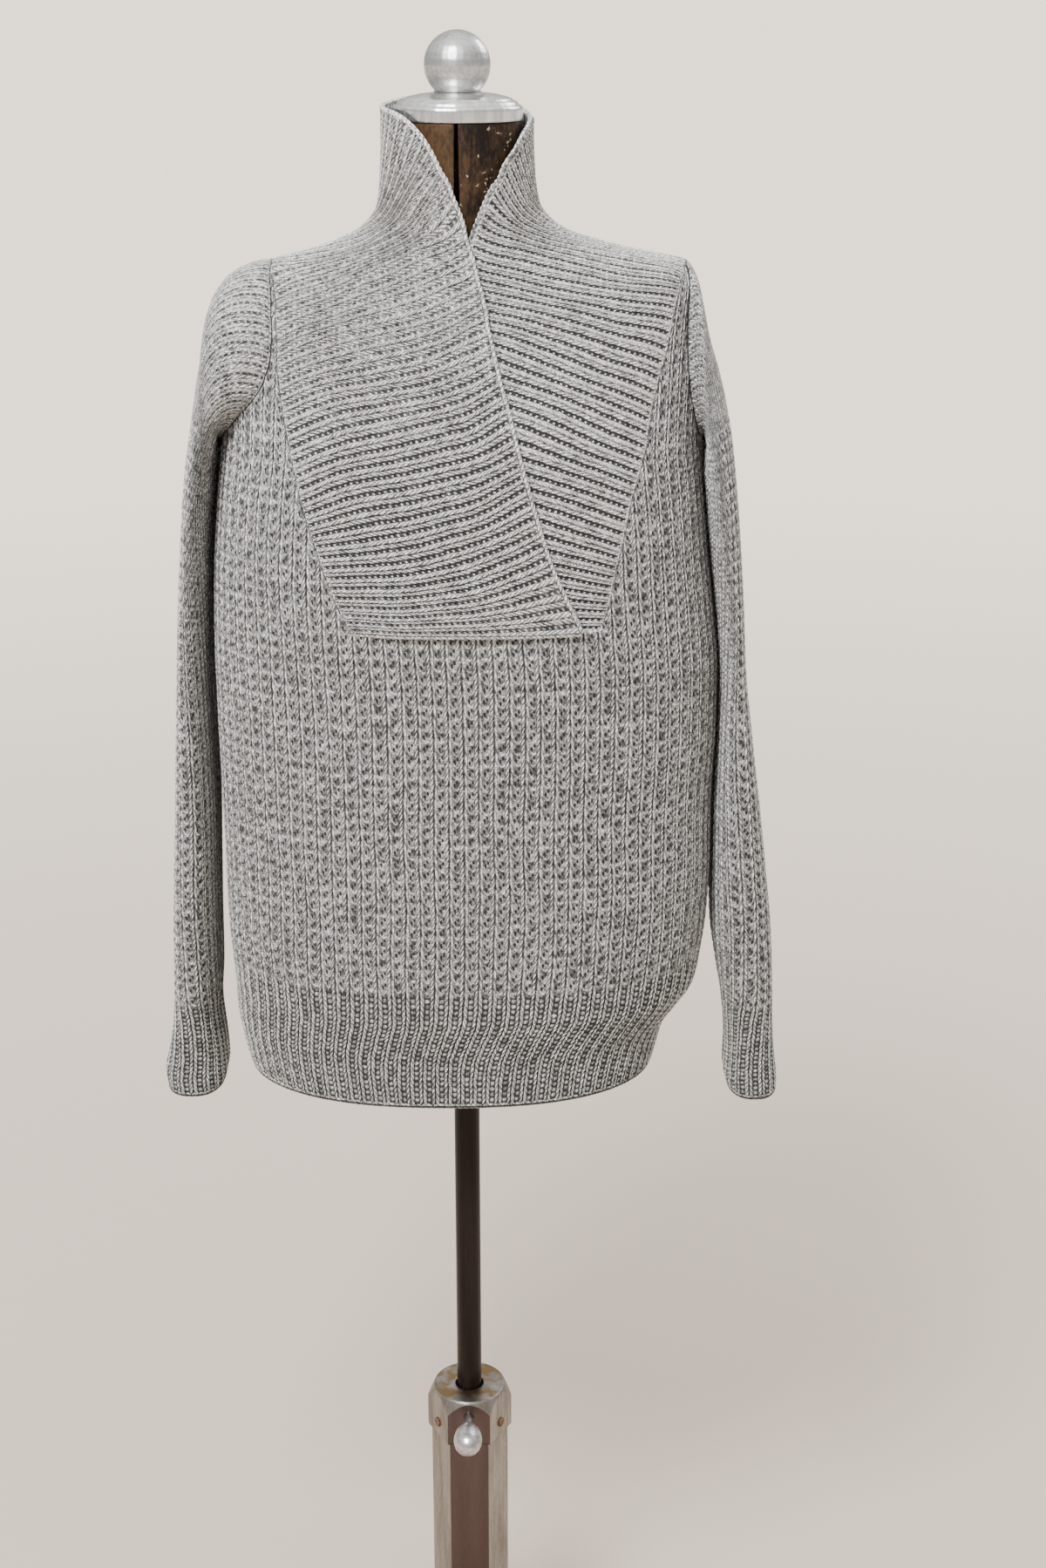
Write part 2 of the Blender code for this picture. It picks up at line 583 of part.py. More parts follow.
def form_sections():
    """Rings of points up the form: torso, shoulders and neck."""
    angle = np.radians(np.arange(FORM_SIDES) * 360.0 / FORM_SIDES)
    sections = []
    for height, half_width, front_depth, back_depth in FORM_RINGS:
        values = np.array([height, height, height, 0.0, half_width, front_depth, back_depth])
        sections.append(ring_point(values, 2.0 / BODY_SQUARENESS, angle))
    middled = RINGS.copy()
    middled[:, 4] = np.minimum(middled[:, 4] - np.abs(middled[:, 3]),
                               ARM_HALF_WIDTH + WALL + YOKE_INSET)
    middled[:, 3] = 0.0
    for ring in np.arange(UNDERARM + 1.0, NECK_RING - 0.9, 0.5):
        power = 2.0 / squareness(ring)
        values = smooth_rows(middled, ring)
        point = ring_point(values, power, angle)
        upper = ring_point(smooth_rows(middled, ring + 0.05), power, angle)
        lower = ring_point(smooth_rows(middled, ring - 0.05), power, angle)
        across = np.roll(point, -1, axis=0) - np.roll(point, 1, axis=0)
        normal = np.cross(across, upper - lower)
        normal /= np.linalg.norm(normal, axis=-1, keepdims=True)
        inset = WALL + YOKE_INSET + YOKE_HOLLOW * np.cos(angle)**2
        sections.append(point - normal * inset[:, None])
    base = sections[-1][:, 2]
    circle = ring_point(np.array([0.0, 0.0, 0.0, 0.0, NECK_RADIUS, NECK_RADIUS, NECK_RADIUS]),
                        1.0, angle)
    for step in range(1, NECK_STEPS + 1):
        section = circle.copy()
        section[:, 2] = base + (NECK_TOP - base) * (NECK_START + (1.0 - NECK_START)
                                                    * (step - 1) / (NECK_STEPS - 1))
        sections.append(section)
    return np.array(sections)


def make_form(finish):
    """Torso and neck of the form, slit at the front of the neck and bored for the pole."""
    sections = form_sections()
    rows, count = sections.shape[:2]
    faces = [tuple(reversed(range(count)))]
    for i in range(rows - 1):
        for j in range(count):
            right = (j + 1) % count
            faces.append((i * count + j, i * count + right,
                          (i + 1) * count + right, (i + 1) * count + j))
    faces.append(tuple((rows - 1) * count + j for j in range(count)))
    form = mesh_object("dress_form", sections.reshape(-1, 3), faces, finish, smooth_angle=50.0)
    socket_depth = POLE_TOP + RUN_GAP - FORM_BOTTOM
    cut(form, cylinder_cutter("pole_socket", POLE_RADIUS + RUN_GAP, socket_depth + 0.02,
                              (0.0, 0.0, POLE_TOP + RUN_GAP), 24))
    cut(form, neck_slit())
    return form


def neck_slit():
    """Wedge that opens the front of the neck, wider towards the chest."""
    top, low = NECK_TOP + 0.01, SLIT_LOW_HEIGHT
    front, back = -0.12, -NECK_RADIUS + SLIT_DEPTH
    shape = bmesh.new()
    corners = {}
    for height, width in ((low, SLIT_LOW_WIDTH), (top, SLIT_TOP_WIDTH)):
        for x in (-width / 2.0, width / 2.0):
            for y in (front, back):
                corners[height, x > 0.0, y] = shape.verts.new((x, y, height))
    bmesh.ops.convex_hull(shape, input=list(corners.values()))
    return bmesh_cutter("neck_slit", shape)


def bmesh_cutter(name, shape):
    mesh = bpy.data.meshes.new(name)
    shape.to_mesh(mesh)
    shape.free()
    return as_cutter(bpy.data.objects.new(name, mesh))


def as_cutter(cutter):
    cutter.hide_render = True
    cutter.display_type = "WIRE"
    CUTTERS.objects.link(cutter)
    return cutter


def cylinder_cutter(name, radius, length, top, sides, rotation=None):
    """Upright cylinder whose upper end is at a point, or laid along -Y from it."""
    shape = bmesh.new()
    bmesh.ops.create_cone(shape, cap_ends=True, segments=sides, radius1=radius,
                          radius2=radius, depth=length)
    bmesh.ops.translate(shape, verts=shape.verts, vec=(0.0, 0.0, -length / 2.0))
    if rotation is not None:
        bmesh.ops.rotate(shape, verts=shape.verts, matrix=rotation)
    bmesh.ops.translate(shape, verts=shape.verts, vec=top)
    return bmesh_cutter(name, shape)


def cut(target, cutter, operation="DIFFERENCE"):
    modifier = target.modifiers.new(cutter.name, "BOOLEAN")
    modifier.operation = operation
    modifier.solver = "EXACT"
    modifier.object = cutter


# ---- turned parts --------------------------------------------------------------------
def turn_profile(obj, sides):
    screw = obj.modifiers.new("turn", "SCREW")
    screw.steps = screw.render_steps = sides
    screw.use_merge_vertices = True
    screw.merge_threshold = 0.00001
    screw.use_smooth_shade = True


def profile_mesh(name, profile):
    mesh = bpy.data.meshes.new(name)
    mesh.from_pydata([(radius, 0.0, height) for radius, height in profile],
                     [(i, i + 1) for i in range(len(profile) - 1)], [])
    return bpy.data.objects.new(name, mesh)


def turned(name, profile, finish, sides=32):
    """Solid of revolution about Z from a profile of (radius, height) pairs, top first."""
    obj = link_object(profile_mesh(name, profile), finish)
    turn_profile(obj, sides)
    return obj


def turned_cutter(name, profile, sides=48):
    cutter = as_cutter(profile_mesh(name, profile))
    turn_profile(cutter, sides)
    return cutter


def make_cap(finish):
    """Metal cap on the neck: a plain band, two grooves and a low dome."""
    base = NECK_TOP + RUN_GAP
    profile = [(0.0, CAP_HEIGHT), (0.0180, CAP_HEIGHT), (0.0290, 0.0193), (0.0370, 0.0175),
               (0.0420, 0.0157), (0.0428, 0.0144), (0.0448, 0.0140), (0.0462, 0.0128),
               (0.0466, 0.0114), (0.0486, 0.0108), (0.0498, 0.0098), (CAP_RADIUS, 0.0085),
               (CAP_RADIUS, 0.0), (0.0, 0.0)]
    return turned("neck_cap", [(radius, base + height) for radius, height in profile],
                  finish, sides=40)


def make_ball(finish):
    """Ball finial that stands on the cap on a flat."""
    base = NECK_TOP + 2.0 * RUN_GAP + CAP_HEIGHT
    centre = base + BALL_CENTRE
    first = math.radians(-47.0)
    profile = []
    steps = 12
    for step in range(steps + 1):
        tilt = math.radians(90.0) + (first - math.radians(90.0)) * step / steps
        profile.append((BALL_RADIUS * math.cos(tilt), centre + BALL_RADIUS * math.sin(tilt)))
    profile[0] = (0.0, centre + BALL_RADIUS)
    profile += [(BALL_FOOT, base + RUN_GAP), (BALL_FOOT, base), (0.0, base)]
    return turned("ball_finial", profile, finish, sides=28)


def make_pole(finish):
    """Polished pole that carries the form and slides in the hub."""
    edge = 0.001
    profile = [(0.0, POLE_TOP), (POLE_RADIUS - edge, POLE_TOP), (POLE_RADIUS, POLE_TOP - edge),
               (POLE_RADIUS, POLE_BOTTOM + edge), (POLE_RADIUS - edge, POLE_BOTTOM),
               (0.0, POLE_BOTTOM)]
    return turned("pole", profile, finish, sides=24)


# ---- stand ---------------------------------------------------------------------------
def prism(shape, corner, bottom, top, sides=6, turn=30.0):
    """Upright prism; the six-sided one has corners at +X and -X and faces the front."""
    bmesh.ops.create_cone(shape, cap_ends=True, segments=sides, radius1=corner,
                          radius2=corner, depth=top - bottom,
                          matrix=Matrix.Translation((0.0, 0.0, (top + bottom) / 2.0))
                          @ Matrix.Rotation(math.radians(turn), 4, "Z"))


def make_hub(finish):
    """Six-sided nut on the column: turned shoulder, mouth, guide bore and clamp hole."""
    bottom = HUB_TOP - HUB_HEIGHT
    shape = bmesh.new()
    prism(shape, HUB_CORNER, bottom, HUB_TOP)
    hub = bmesh_object("hub", shape, finish)
    slope = HUB_CHAMFER / (HUB_CORNER - HUB_FLAT)
    above, wide = 0.003, HUB_CORNER + 0.006
    turning = [(0.0, HUB_TOP + above), (HUB_FLAT - above / slope, HUB_TOP + above),
               (wide, HUB_TOP - (wide - HUB_FLAT) * slope), (wide, bottom - above),
               (0.0, bottom - above)]
    cut(hub, turned_cutter("hub_turning", turning), "INTERSECT")
    cut(hub, cylinder_cutter("hub_bore", HUB_BORE, HUB_HEIGHT + 0.02,
                             (0.0, 0.0, HUB_TOP + 0.01), 24))
    cut(hub, cylinder_cutter("hub_mouth", HUB_MOUTH, HUB_MOUTH_DEPTH + 0.01,
                             (0.0, 0.0, HUB_TOP + 0.01), 24))
    facing = Matrix.Rotation(math.radians(-90.0), 3, "X")
    cut(hub, cylinder_cutter("clamp_hole", CLAMP_SLOT / 2.0, HUB_CORNER - 0.004,
                             (0.0, -0.004, CLAMP_HEIGHT), 16, facing))
    return hub


def make_column(finish):
    """Hollow six-sided column under the hub."""
    top, bottom = HUB_TOP - HUB_HEIGHT - RUN_GAP, COLUMN_BOTTOM + RUN_GAP
    shape = bmesh.new()
    prism(shape, COLUMN_CORNER, bottom, top)
    column = bmesh_object("column", shape, finish)
    hollow = bmesh.new()
    prism(hollow, COLUMN_CORNER - COLUMN_WALL, bottom - 0.01, top + 0.01)
    cut(column, bmesh_cutter("column_hollow", hollow))
    return column


def make_clamp(knob_finish):
    """Pear-shaped clamp knob on its stem, pressing on the pole through the hub."""
    tip = -POLE_RADIUS - RUN_GAP
    stem = CLAMP_SLOT / 2.0 - RUN_GAP
    steps = 12
    profile = []
    for step in range(steps):
        turn = math.pi * step / steps
        along = KNOB_LENGTH / 2.0 * math.cos(turn)
        swell = 1.0 - KNOB_TAPER * (1.0 - math.cos(turn)) / 2.0
        profile.append((KNOB_RADIUS * math.sin(turn) * swell, -KNOB_CENTRE + along))
    profile = [point for point in profile if point[1] > -KNOB_CENTRE or point[0] > stem * 1.3]
    last_height = profile[-1][1]
    profile += [(stem, last_height - 0.0025), (stem, -tip), (0.0, -tip)]
    clamp = turned("clamp_knob", profile, knob_finish, sides=24)
    clamp.matrix_world = (Matrix.Translation((0.0, 0.0, CLAMP_HEIGHT))
                          @ Matrix.Rotation(math.radians(90.0), 4, "X"))
    return clamp


def make_hub_screws(finish):
    """Three small screws in the faces of the hub."""
    apothem = HUB_CORNER * math.cos(math.radians(30.0))
    for name, direction in (("hub_screw_right", 210.0), ("hub_screw_left", 330.0),
                            ("hub_screw_back", 90.0)):
        heading = math.radians(direction)
        screw = turned(name, [(0.0, SCREW_HEAD), (SCREW_RADIUS * 0.78, SCREW_HEAD * 0.93),
                              (SCREW_RADIUS, SCREW_HEAD * 0.4), (SCREW_RADIUS, 0.0),
                              (0.0, 0.0)], finish, sides=20)
        place = apothem + RUN_GAP
        screw.matrix_world = (Matrix.Translation((place * math.cos(heading),
                                                  place * math.sin(heading), SCREW_HEIGHT))
                              @ Matrix.Rotation(heading, 4, "Z")
                              @ Matrix.Rotation(math.radians(90.0), 4, "Y"))


def make_base(finish):
    """Boss round the foot of the column, closed below, with a flat for each leg."""
    shape = bmesh.new()
    prism(shape, BASE_CORNER, BASE_BOTTOM - BASE_FLOOR, BASE_TOP, BASE_SIDES,
          180.0 / BASE_SIDES)
    boss = bmesh_object("base_boss", shape, finish)
    well = bmesh.new()
    prism(well, COLUMN_CORNER + RUN_GAP, BASE_BOTTOM, BASE_TOP + 0.01)
    cut(boss, bmesh_cutter("base_well", well))
    return boss


LEG_SECTIONS = (
    # reach, under_z, upper_z, half_width
    (0.0425, 0.0500, 0.1260, 0.0110),
    (0.0900, 0.0480, 0.1020, 0.0115),
    (0.1600, 0.0340, 0.0660, 0.0115),
    (0.2300, 0.0190, 0.0400, 0.0120),
    (0.2900, 0.0125, 0.0285, 0.0125),
)
LEG_EDGE = 0.0035


def leg_section(shape, reach, under_z, upper_z, half_width):
    """Eight-sided section of a leg that points along +X."""
    low, high = under_z + LEG_EDGE, upper_z - LEG_EDGE
    flat = half_width - LEG_EDGE
    corners = [(-flat, under_z), (flat, under_z), (half_width, low), (half_width, high),
               (flat, upper_z), (-flat, upper_z), (-half_width, high), (-half_width, low)]
    return [shape.verts.new((reach, y, z)) for y, z in corners]


def make_legs(finish, foot_finish):
    """Four tapering legs in a cross, each on a round rubber foot."""
    start = BASE_CORNER * math.cos(math.pi / BASE_SIDES) + RUN_GAP
    for name, heading in (("front", -90.0), ("left", 0.0), ("back", 90.0), ("right", 180.0)):
        shape = bmesh.new()
        rings = [leg_section(shape, max(reach, start), under_z, upper_z, half_width)
                 for reach, under_z, upper_z, half_width in LEG_SECTIONS]
        for near, far in zip(rings, rings[1:]):
            for k in range(len(near)):
                shape.faces.new((near[k], near[k - 1], far[k - 1], far[k]))
        shape.faces.new(reversed(rings[0]))
        shape.faces.new(rings[-1])
        bmesh.ops.recalc_face_normals(shape, faces=shape.faces)
        turn = Matrix.Rotation(math.radians(heading), 4, "Z")
        bmesh.ops.transform(shape, verts=shape.verts, matrix=turn)
        bmesh_object("leg_" + name, shape, finish)
        foot = turned("foot_" + name, [(0.0, FOOT_HEIGHT), (FOOT_RADIUS, FOOT_HEIGHT),
                                       (FOOT_RADIUS, FOOT_EDGE), (FOOT_RADIUS - FOOT_EDGE, 0.0),
                                       (0.0, 0.0)], foot_finish, sides=24)
        foot.matrix_world = turn @ Matrix.Translation((LEG_REACH - FOOT_RADIUS, 0.0, 0.0))


# ---- build ---------------------------------------------------------------------------
for leftover in list(bpy.data.objects):
    bpy.data.objects.remove(leftover, do_unlink=True)

PARTS = new_collection("sweater_on_dress_form")
CUTTERS = new_collection("cutters")

KNIT = material("knit", (0.43, 0.44, 0.43), 0.90)
FORM_SKIN = material("form_skin", (0.10, 0.055, 0.03), 0.50)
BRIGHT_METAL = material("bright_metal", (0.62, 0.62, 0.61), 0.28, 1.0)
STAND_METAL = material("stand_metal", (0.42, 0.40, 0.37), 0.45, 1.0)
POLE_METAL = material("pole_metal", (0.12, 0.08, 0.06), 0.18, 1.0)
RUSTY_SCREW = material("screw_metal", (0.20, 0.11, 0.07), 0.60, 1.0)
FOOT_RUBBER = material("foot_rubber", (0.03, 0.03, 0.03), 0.80)

make_front(KNIT)
make_back(KNIT)
make_sleeve("sleeve_right", -1, SLEEVE_RIGHT, KNIT)
make_sleeve("sleeve_left", 1, SLEEVE_LEFT, KNIT)
make_collar("collar_right", -1, LAYER_OUT, KNIT)
make_collar("collar_left", 1, -LAYER_IN, KNIT)

make_form(FORM_SKIN)
make_cap(BRIGHT_METAL)
make_ball(BRIGHT_METAL)
make_pole(POLE_METAL)
make_hub(STAND_METAL)
make_column(STAND_METAL)
make_clamp(BRIGHT_METAL)
make_hub_screws(RUSTY_SCREW)
make_base(STAND_METAL)
make_legs(STAND_METAL, FOOT_RUBBER)
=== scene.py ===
"""Pullover sweater on a dress form: knitted cloth, form, stand, light and camera."""

import math

import bpy
import numpy as np
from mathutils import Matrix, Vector


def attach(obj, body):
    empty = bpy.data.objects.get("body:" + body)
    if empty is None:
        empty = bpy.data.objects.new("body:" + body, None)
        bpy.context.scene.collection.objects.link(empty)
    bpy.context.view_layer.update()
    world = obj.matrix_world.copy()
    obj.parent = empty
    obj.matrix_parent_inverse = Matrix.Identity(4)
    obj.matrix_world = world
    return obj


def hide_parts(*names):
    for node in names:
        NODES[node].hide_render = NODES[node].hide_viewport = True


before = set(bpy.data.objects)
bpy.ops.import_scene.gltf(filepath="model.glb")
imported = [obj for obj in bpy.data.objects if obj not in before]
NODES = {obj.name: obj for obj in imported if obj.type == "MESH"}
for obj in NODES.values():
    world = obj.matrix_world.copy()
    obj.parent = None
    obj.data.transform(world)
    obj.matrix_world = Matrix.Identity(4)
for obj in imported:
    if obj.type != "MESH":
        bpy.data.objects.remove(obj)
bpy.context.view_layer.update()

# ---- the garment, as its solids are cut ----
UNIT = 10000  # the tables with whole numbers are in tenths of a millimetre
WALL = 0.004
SEAM_GAP = 0.00015  # each panel stops this far short of a seam
LAYER_IN = 0.002  # how far the under half of the collar sinks where they cross
LAYER_OUT = 0.0032  # how far the upper half rises there

# side_z, front_z, back_z, centre_x, half_width, front_depth, back_depth
RINGS = np.array([
    (7420, 7390, 7420, -125, 1755, 1080, 1040),  # 0 hem
    (7600, 7580, 7600, -125, 1800, 1095, 1060), (7800, 7790, 7800, -115, 1845, 1120, 1090),
    (8000, 8000, 8000, -60, 1920, 1155, 1130), (8200, 8200, 8200, 0, 1985, 1190, 1160),
    (8450, 8450, 8450, 15, 2015, 1210, 1170),  # 5 top of the rib band
    (8800, 8800, 8800, 25, 2045, 1220, 1170), (9300, 9300, 9300, 35, 2055, 1220, 1160),
    (9870, 9870, 9870, 30, 2055, 1210, 1140), (10500, 10500, 10500, 38, 2070, 1210, 1130),
    (11000, 11000, 11000, 35, 2068, 1220, 1120),  # 10
    (11520, 11520, 11520, 15, 2035, 1240, 1120),  # 11 foot of the collar
    (12000, 12000, 12000, 0, 1990, 1255, 1130), (12450, 12450, 12450, 0, 1945, 1235, 1120),
    (12840, 12840, 12840, 5, 1900, 1180, 1090),  # 14 underarm
    (13250, 13180, 13220, 20, 1870, 1080, 1050), (13620, 13420, 13520, 40, 1845, 990, 1000),
    (13920, 13620, 13760, 80, 1800, 910, 950), (14110, 13760, 13920, 130, 1730, 845, 900),
    (14215, 13880, 14030, 155, 1615, 790, 850),  # 19 shoulder tip
    (14280, 14000, 14150, 110, 1340, 730, 790), (14365, 14120, 14280, 60, 1030, 670, 730),
    (14470, 14260, 14410, 20, 780, 625, 670), (14660, 14440, 14560, 0, 625, 600, 625),
    (14900, 14740, 14840, -5, 595, 580, 595), (15150, 15060, 15120, -5, 585, 570, 580),  # 25
    (15400, 15380, 15420, -5, 585, 570, 580),  # 26 top of the collar
]) / UNIT
BAND_TOP, COLLAR_FOOT, UNDERARM, SHOULDER, NECK_RING, COLLAR_TOP = 5, 11, 14, 19, 23, 26
BODY_SQUARENESS = 2.4
NECK_SQUARENESS = 2

# ring, right_front, right_back, left_front, left_back
ARMHOLE = np.array([
    (14, 90, 90, 90, 90), (14.25, 76, 105, 80, 108), (14.36, 71, 108, 77.8, 112.6),
    (14.5, 67, 110.2, 76, 116.2), (15, 56, 114, 71, 125), (15.5, 51, 115.5, 69, 130),
    (16, 49.5, 116, 68, 132), (16.6, 51, 116, 68, 132), (17.3, 55.5, 115, 69, 130),
    (18, 62, 111, 71, 123), (18.5, 69.5, 106, 74.5, 113), (19, 82, 98, 82, 98),])
ARM_RINGS = ARMHOLE[:, 0]

# height, right_x, left_x of the seam between front and collar
COLLAR_SEAM = np.array([
    (11520, -830, 1110), (11760, -945, 1170), (12030, -1040, 1225), (12240, -1110, 1270),
    (12500, -1190, 1325), (12900, -1275, 1440), (13170, -1330, 1480), (13430, -1365, 1545),
    (13690, -1370, 1620), (13950, -1380, 1670), (14100, -1410, 1705), (14195, -1450, 1740),
]) / UNIT
# over_x, over_z, under_x, under_z of the collar halves' free edges on the chest
FREE_EDGE = np.array([
    (945, 11520, -450, 11520), (700, 12080, -360, 12080), (575, 12485, -300, 12485),
    (415, 13080, -210, 13080), (305, 13470, -140, 13470), (215, 13870, -60, 13850),
    (165, 14080, 5, 14080), (105, 14300, 85, 14300), (50, 14500, 160, 14530),
    (-40, 14745, 290, 14800),]) / UNIT
# over_angle, over_ring, under_angle, under_ring, where the free edges go on round the neck
NECK_EDGE = np.array([
    (6.5, 24.28, 35, 24.2), (12, 24.55, 41, 24.5), (20, 25, 53, 24.8), (33, 25.45, 66, 25.15),
    (51, 25.72, 80, 25.35), (75, 25.8, 96, 25.5), (103, 25.86, 116, 25.68),
    (130, 25.94, 137, 25.86), (156, 26, 159, 25.97), (180, 26, 180, 26),])
# ring where a rib starts at the seam, and the height where it ends at the free edge
OVER_RIBS = np.array([
    (11, 1.152), (11.4, 1.198), (12.3, 1.26), (13.1, 1.2995), (14.15, 1.3415), (15, 1.37),
    (16, 1.405), (16.75, 1.434), (17.6, 1.459),])
UNDER_RIBS = np.array([
    (11, 1.152), (11.3, 1.18), (12.1, 1.246), (13.25, 1.307), (14.35, 1.357), (15.6, 1.393),
    (16.8, 1.416), (17.8, 1.434), (18.4, 1.451),])
# Higher ribs: ring or angle at the start, angle and ring at three points between, and
# angle at the end
OVER_NECK_RIBS = np.array([
    (18.4, 60.5, 20.2, 50, 21.8, 32, 23.1, 8.5), (86, 68, 20.6, 57, 22.2, 41, 23.35, 15),
    (102, 83, 21.3, 70, 22.15, 52, 23.4, 25), (117, 98, 21.3, 80, 22.4, 61, 23.6, 39),
    (131, 112, 21.2, 92, 22.4, 74, 23.8, 58), (156, 140, 21.3, 118, 22.9, 106, 24.3, 98),
    (180, 180, 21.5, 180, 23.1, 180, 24.5, 180),])
UNDER_NECK_RIBS = np.array([
    (18.9, 74, 20.2, 63, 21.65, 46, 22.8, 25), (103, 86, 21, 72, 22.35, 57, 23.25, 40),
    (120, 105, 21.4, 89, 22.6, 70, 23.5, 54), (150, 138, 21.5, 116, 23, 102, 24.1, 88),
    (180, 180, 21.5, 180, 23.2, 180, 24.6, 180),])
# ring at the seam, width of a collar rib and its valley
COLLAR_WALES = np.array([
    (11, 0.0092), (12, 0.01), (13, 0.0107), (14.2, 0.0107), (15, 0.0098), (16, 0.0088),
    (17, 0.0082), (19, 0.0082),])
OVERLAP_SLOPE = 0.035  # width over which a half rises or sinks before they cross
OVERLAP_TOP = 1.42, 1.47  # heights over which the halves come level again

# outer_x, outer_z, inner_x, inner_z, front_y, back_y of the sleeves' loops
SLEEVE_RIGHT = np.array([
    (1640, 14210, 1908, 12868, 765, 740), (1770, 14170, 1925, 12835, 785, 760),
    (1880, 14065, 1945, 12720, 790, 760), (1940, 13880, 1965, 12580, 780, 760),
    (1980, 13640, 1980, 12440, 765, 755), (2045, 13340, 2005, 12280, 745, 745),
    (2110, 13000, 2025, 12080, 720, 735), (2180, 12600, 2040, 11840, 690, 725),
    (2235, 12120, 2060, 11540, 665, 715), (2285, 11580, 2080, 11180, 645, 710),
    (2330, 11000, 2090, 10760, 630, 705), (2375, 10360, 2090, 10260, 615, 695),
    (2415, 9750, 2090, 9750, 600, 680), (2455, 9200, 2105, 9200, 585, 660),
    (2490, 8650, 2120, 8650, 565, 640), (2512, 8180, 2128, 8180, 540, 615),
    (2535, 7850, 2150, 7850, 490, 560), (2590, 7520, 2120, 7520, 450, 520),
    (2640, 7290, 2105, 7290, 430, 500), (2630, 7160, 2125, 7160, 425, 495),])
# what the left sleeve's loops add to these
SLEEVE_LEFT = SLEEVE_RIGHT + np.array([
    (170, -15, 10, 0, -165, 60), (65, -10, 10, 0, -145, 55), (-10, 15, 10, 0, -120, 60),
    (-40, 40, 10, 0, -100, 55), (-25, 30, 8, 0, -80, 50), (0, 40, 3, 0, -60, 45),
    (20, 20, 3, 0, -40, 40), (10, 0, 15, 0, -20, 35), (5, 0, 30, 0, -10, 30),
    (0, 0, 45, 0, -5, 25), (-5, 0, 55, 0, 0, 20), (30, 0, 60, 0, 0, 15), (75, 0, 50, 0, 0, 10),
    (105, 0, 25, 0, 0, 10), (135, 0, 0, 0, 0, 5), (143, 0, 62, 0, 0, 0), (135, 0, 95, 0, 0, 0),
    (105, -20, 155, -20, 0, 0), (85, -30, 165, -30, 0, 0), (105, -30, 165, -30, 0, 0),])
SLEEVE_SQUARENESS = 2.5
SLEEVE_HEAD = ((0.2, 0.0045), (0.5, 0.0065), (0.85, 0.007))


def smooth_rows(table, at):
    """Rows of a table read at fractional row numbers, on a curve with no overshoot."""
    at = np.clip(np.asarray(at, dtype=float), 0, len(table) - 1)
    step = np.diff(table, axis=0)
    slope = np.zeros_like(table)
    same_way = step[1:] * step[:-1] > 0
    total = step[1:] + step[:-1]
    slope[1:-1] = np.where(same_way, 2 * step[1:] * step[:-1] / np.where(same_way, total, 1), 0)
    slope[0], slope[-1] = step[0], step[-1]
    low = np.minimum(at.astype(int), len(table) - 2)
    t = (at - low)[..., None]
    return (table[low] * (2 * t**3 - 3 * t**2 + 1) + slope[low] * (t**3 - 2 * t**2 + t)
            + table[low + 1] * (3 * t**2 - 2 * t**3) + slope[low + 1] * (t**3 - t**2))


def signed_power(value, power):
    return np.sign(value) * np.abs(value) ** power


def squareness(ring):
    return np.interp(ring, (SHOULDER, NECK_RING), (BODY_SQUARENESS, NECK_SQUARENESS))


def garment_point(angle, ring):
    """Point of the garment's outer surface: angle 0 is the front, +90 degrees is +X."""
    angle, ring = np.broadcast_arrays(np.asarray(angle, float), np.asarray(ring, float))
    side_z, front_z, back_z, centre_x, half_width, front_depth, back_depth = np.moveaxis(
        smooth_rows(RINGS, ring), -1, 0)
    power = 2 / squareness(ring)
    sine, cosine = np.sin(angle), np.cos(angle)
    facing_front = cosine > 0
    x = centre_x + half_width * signed_power(sine, power)
    y = -np.where(facing_front, front_depth, back_depth) * signed_power(cosine, power)
    z = side_z * sine**2 + np.where(facing_front, front_z, back_z) * cosine**2
    return np.stack([x, y, z], axis=-1)


def unit(vectors):
    return vectors / np.maximum(np.linalg.norm(vectors, axis=-1, keepdims=True), 1e-12)


NORMAL_STEP = 0.02  # radians and rings between the points that give a normal


def garment_normal(angle, ring):
    across = garment_point(angle + NORMAL_STEP, ring) - garment_point(angle - NORMAL_STEP, ring)
    upward = garment_point(angle, ring + NORMAL_STEP) - garment_point(angle, ring - NORMAL_STEP)
    return unit(np.cross(across, upward))


def ring_angle(x, ring):
    values = smooth_rows(RINGS, ring)
    ratio = (x - values[..., 3]) / values[..., 4]
    return np.arcsin(np.clip(signed_power(ratio, squareness(ring) / 2), -1, 1))


HALVINGS = 26


def locate(x, z):
    """Angles and rings of the front's points at x and height z."""
    x, z = np.broadcast_arrays(np.asarray(x, float), np.asarray(z, float))
    low, high = np.zeros(x.shape), np.full(x.shape, float(COLLAR_TOP))
    for _ in range(HALVINGS):
        ring = (low + high) / 2
        below = garment_point(ring_angle(x, ring), ring)[..., 2] < z
        low, high = np.where(below, ring, low), np.where(below, high, ring)
    return ring_angle(x, ring), ring


def ease(value, low, high):
    """0 below low, 1 above high, and smooth between them."""
    t = np.clip((value - low) / (high - low), 0, 1)
    return t * t * (3 - 2 * t)


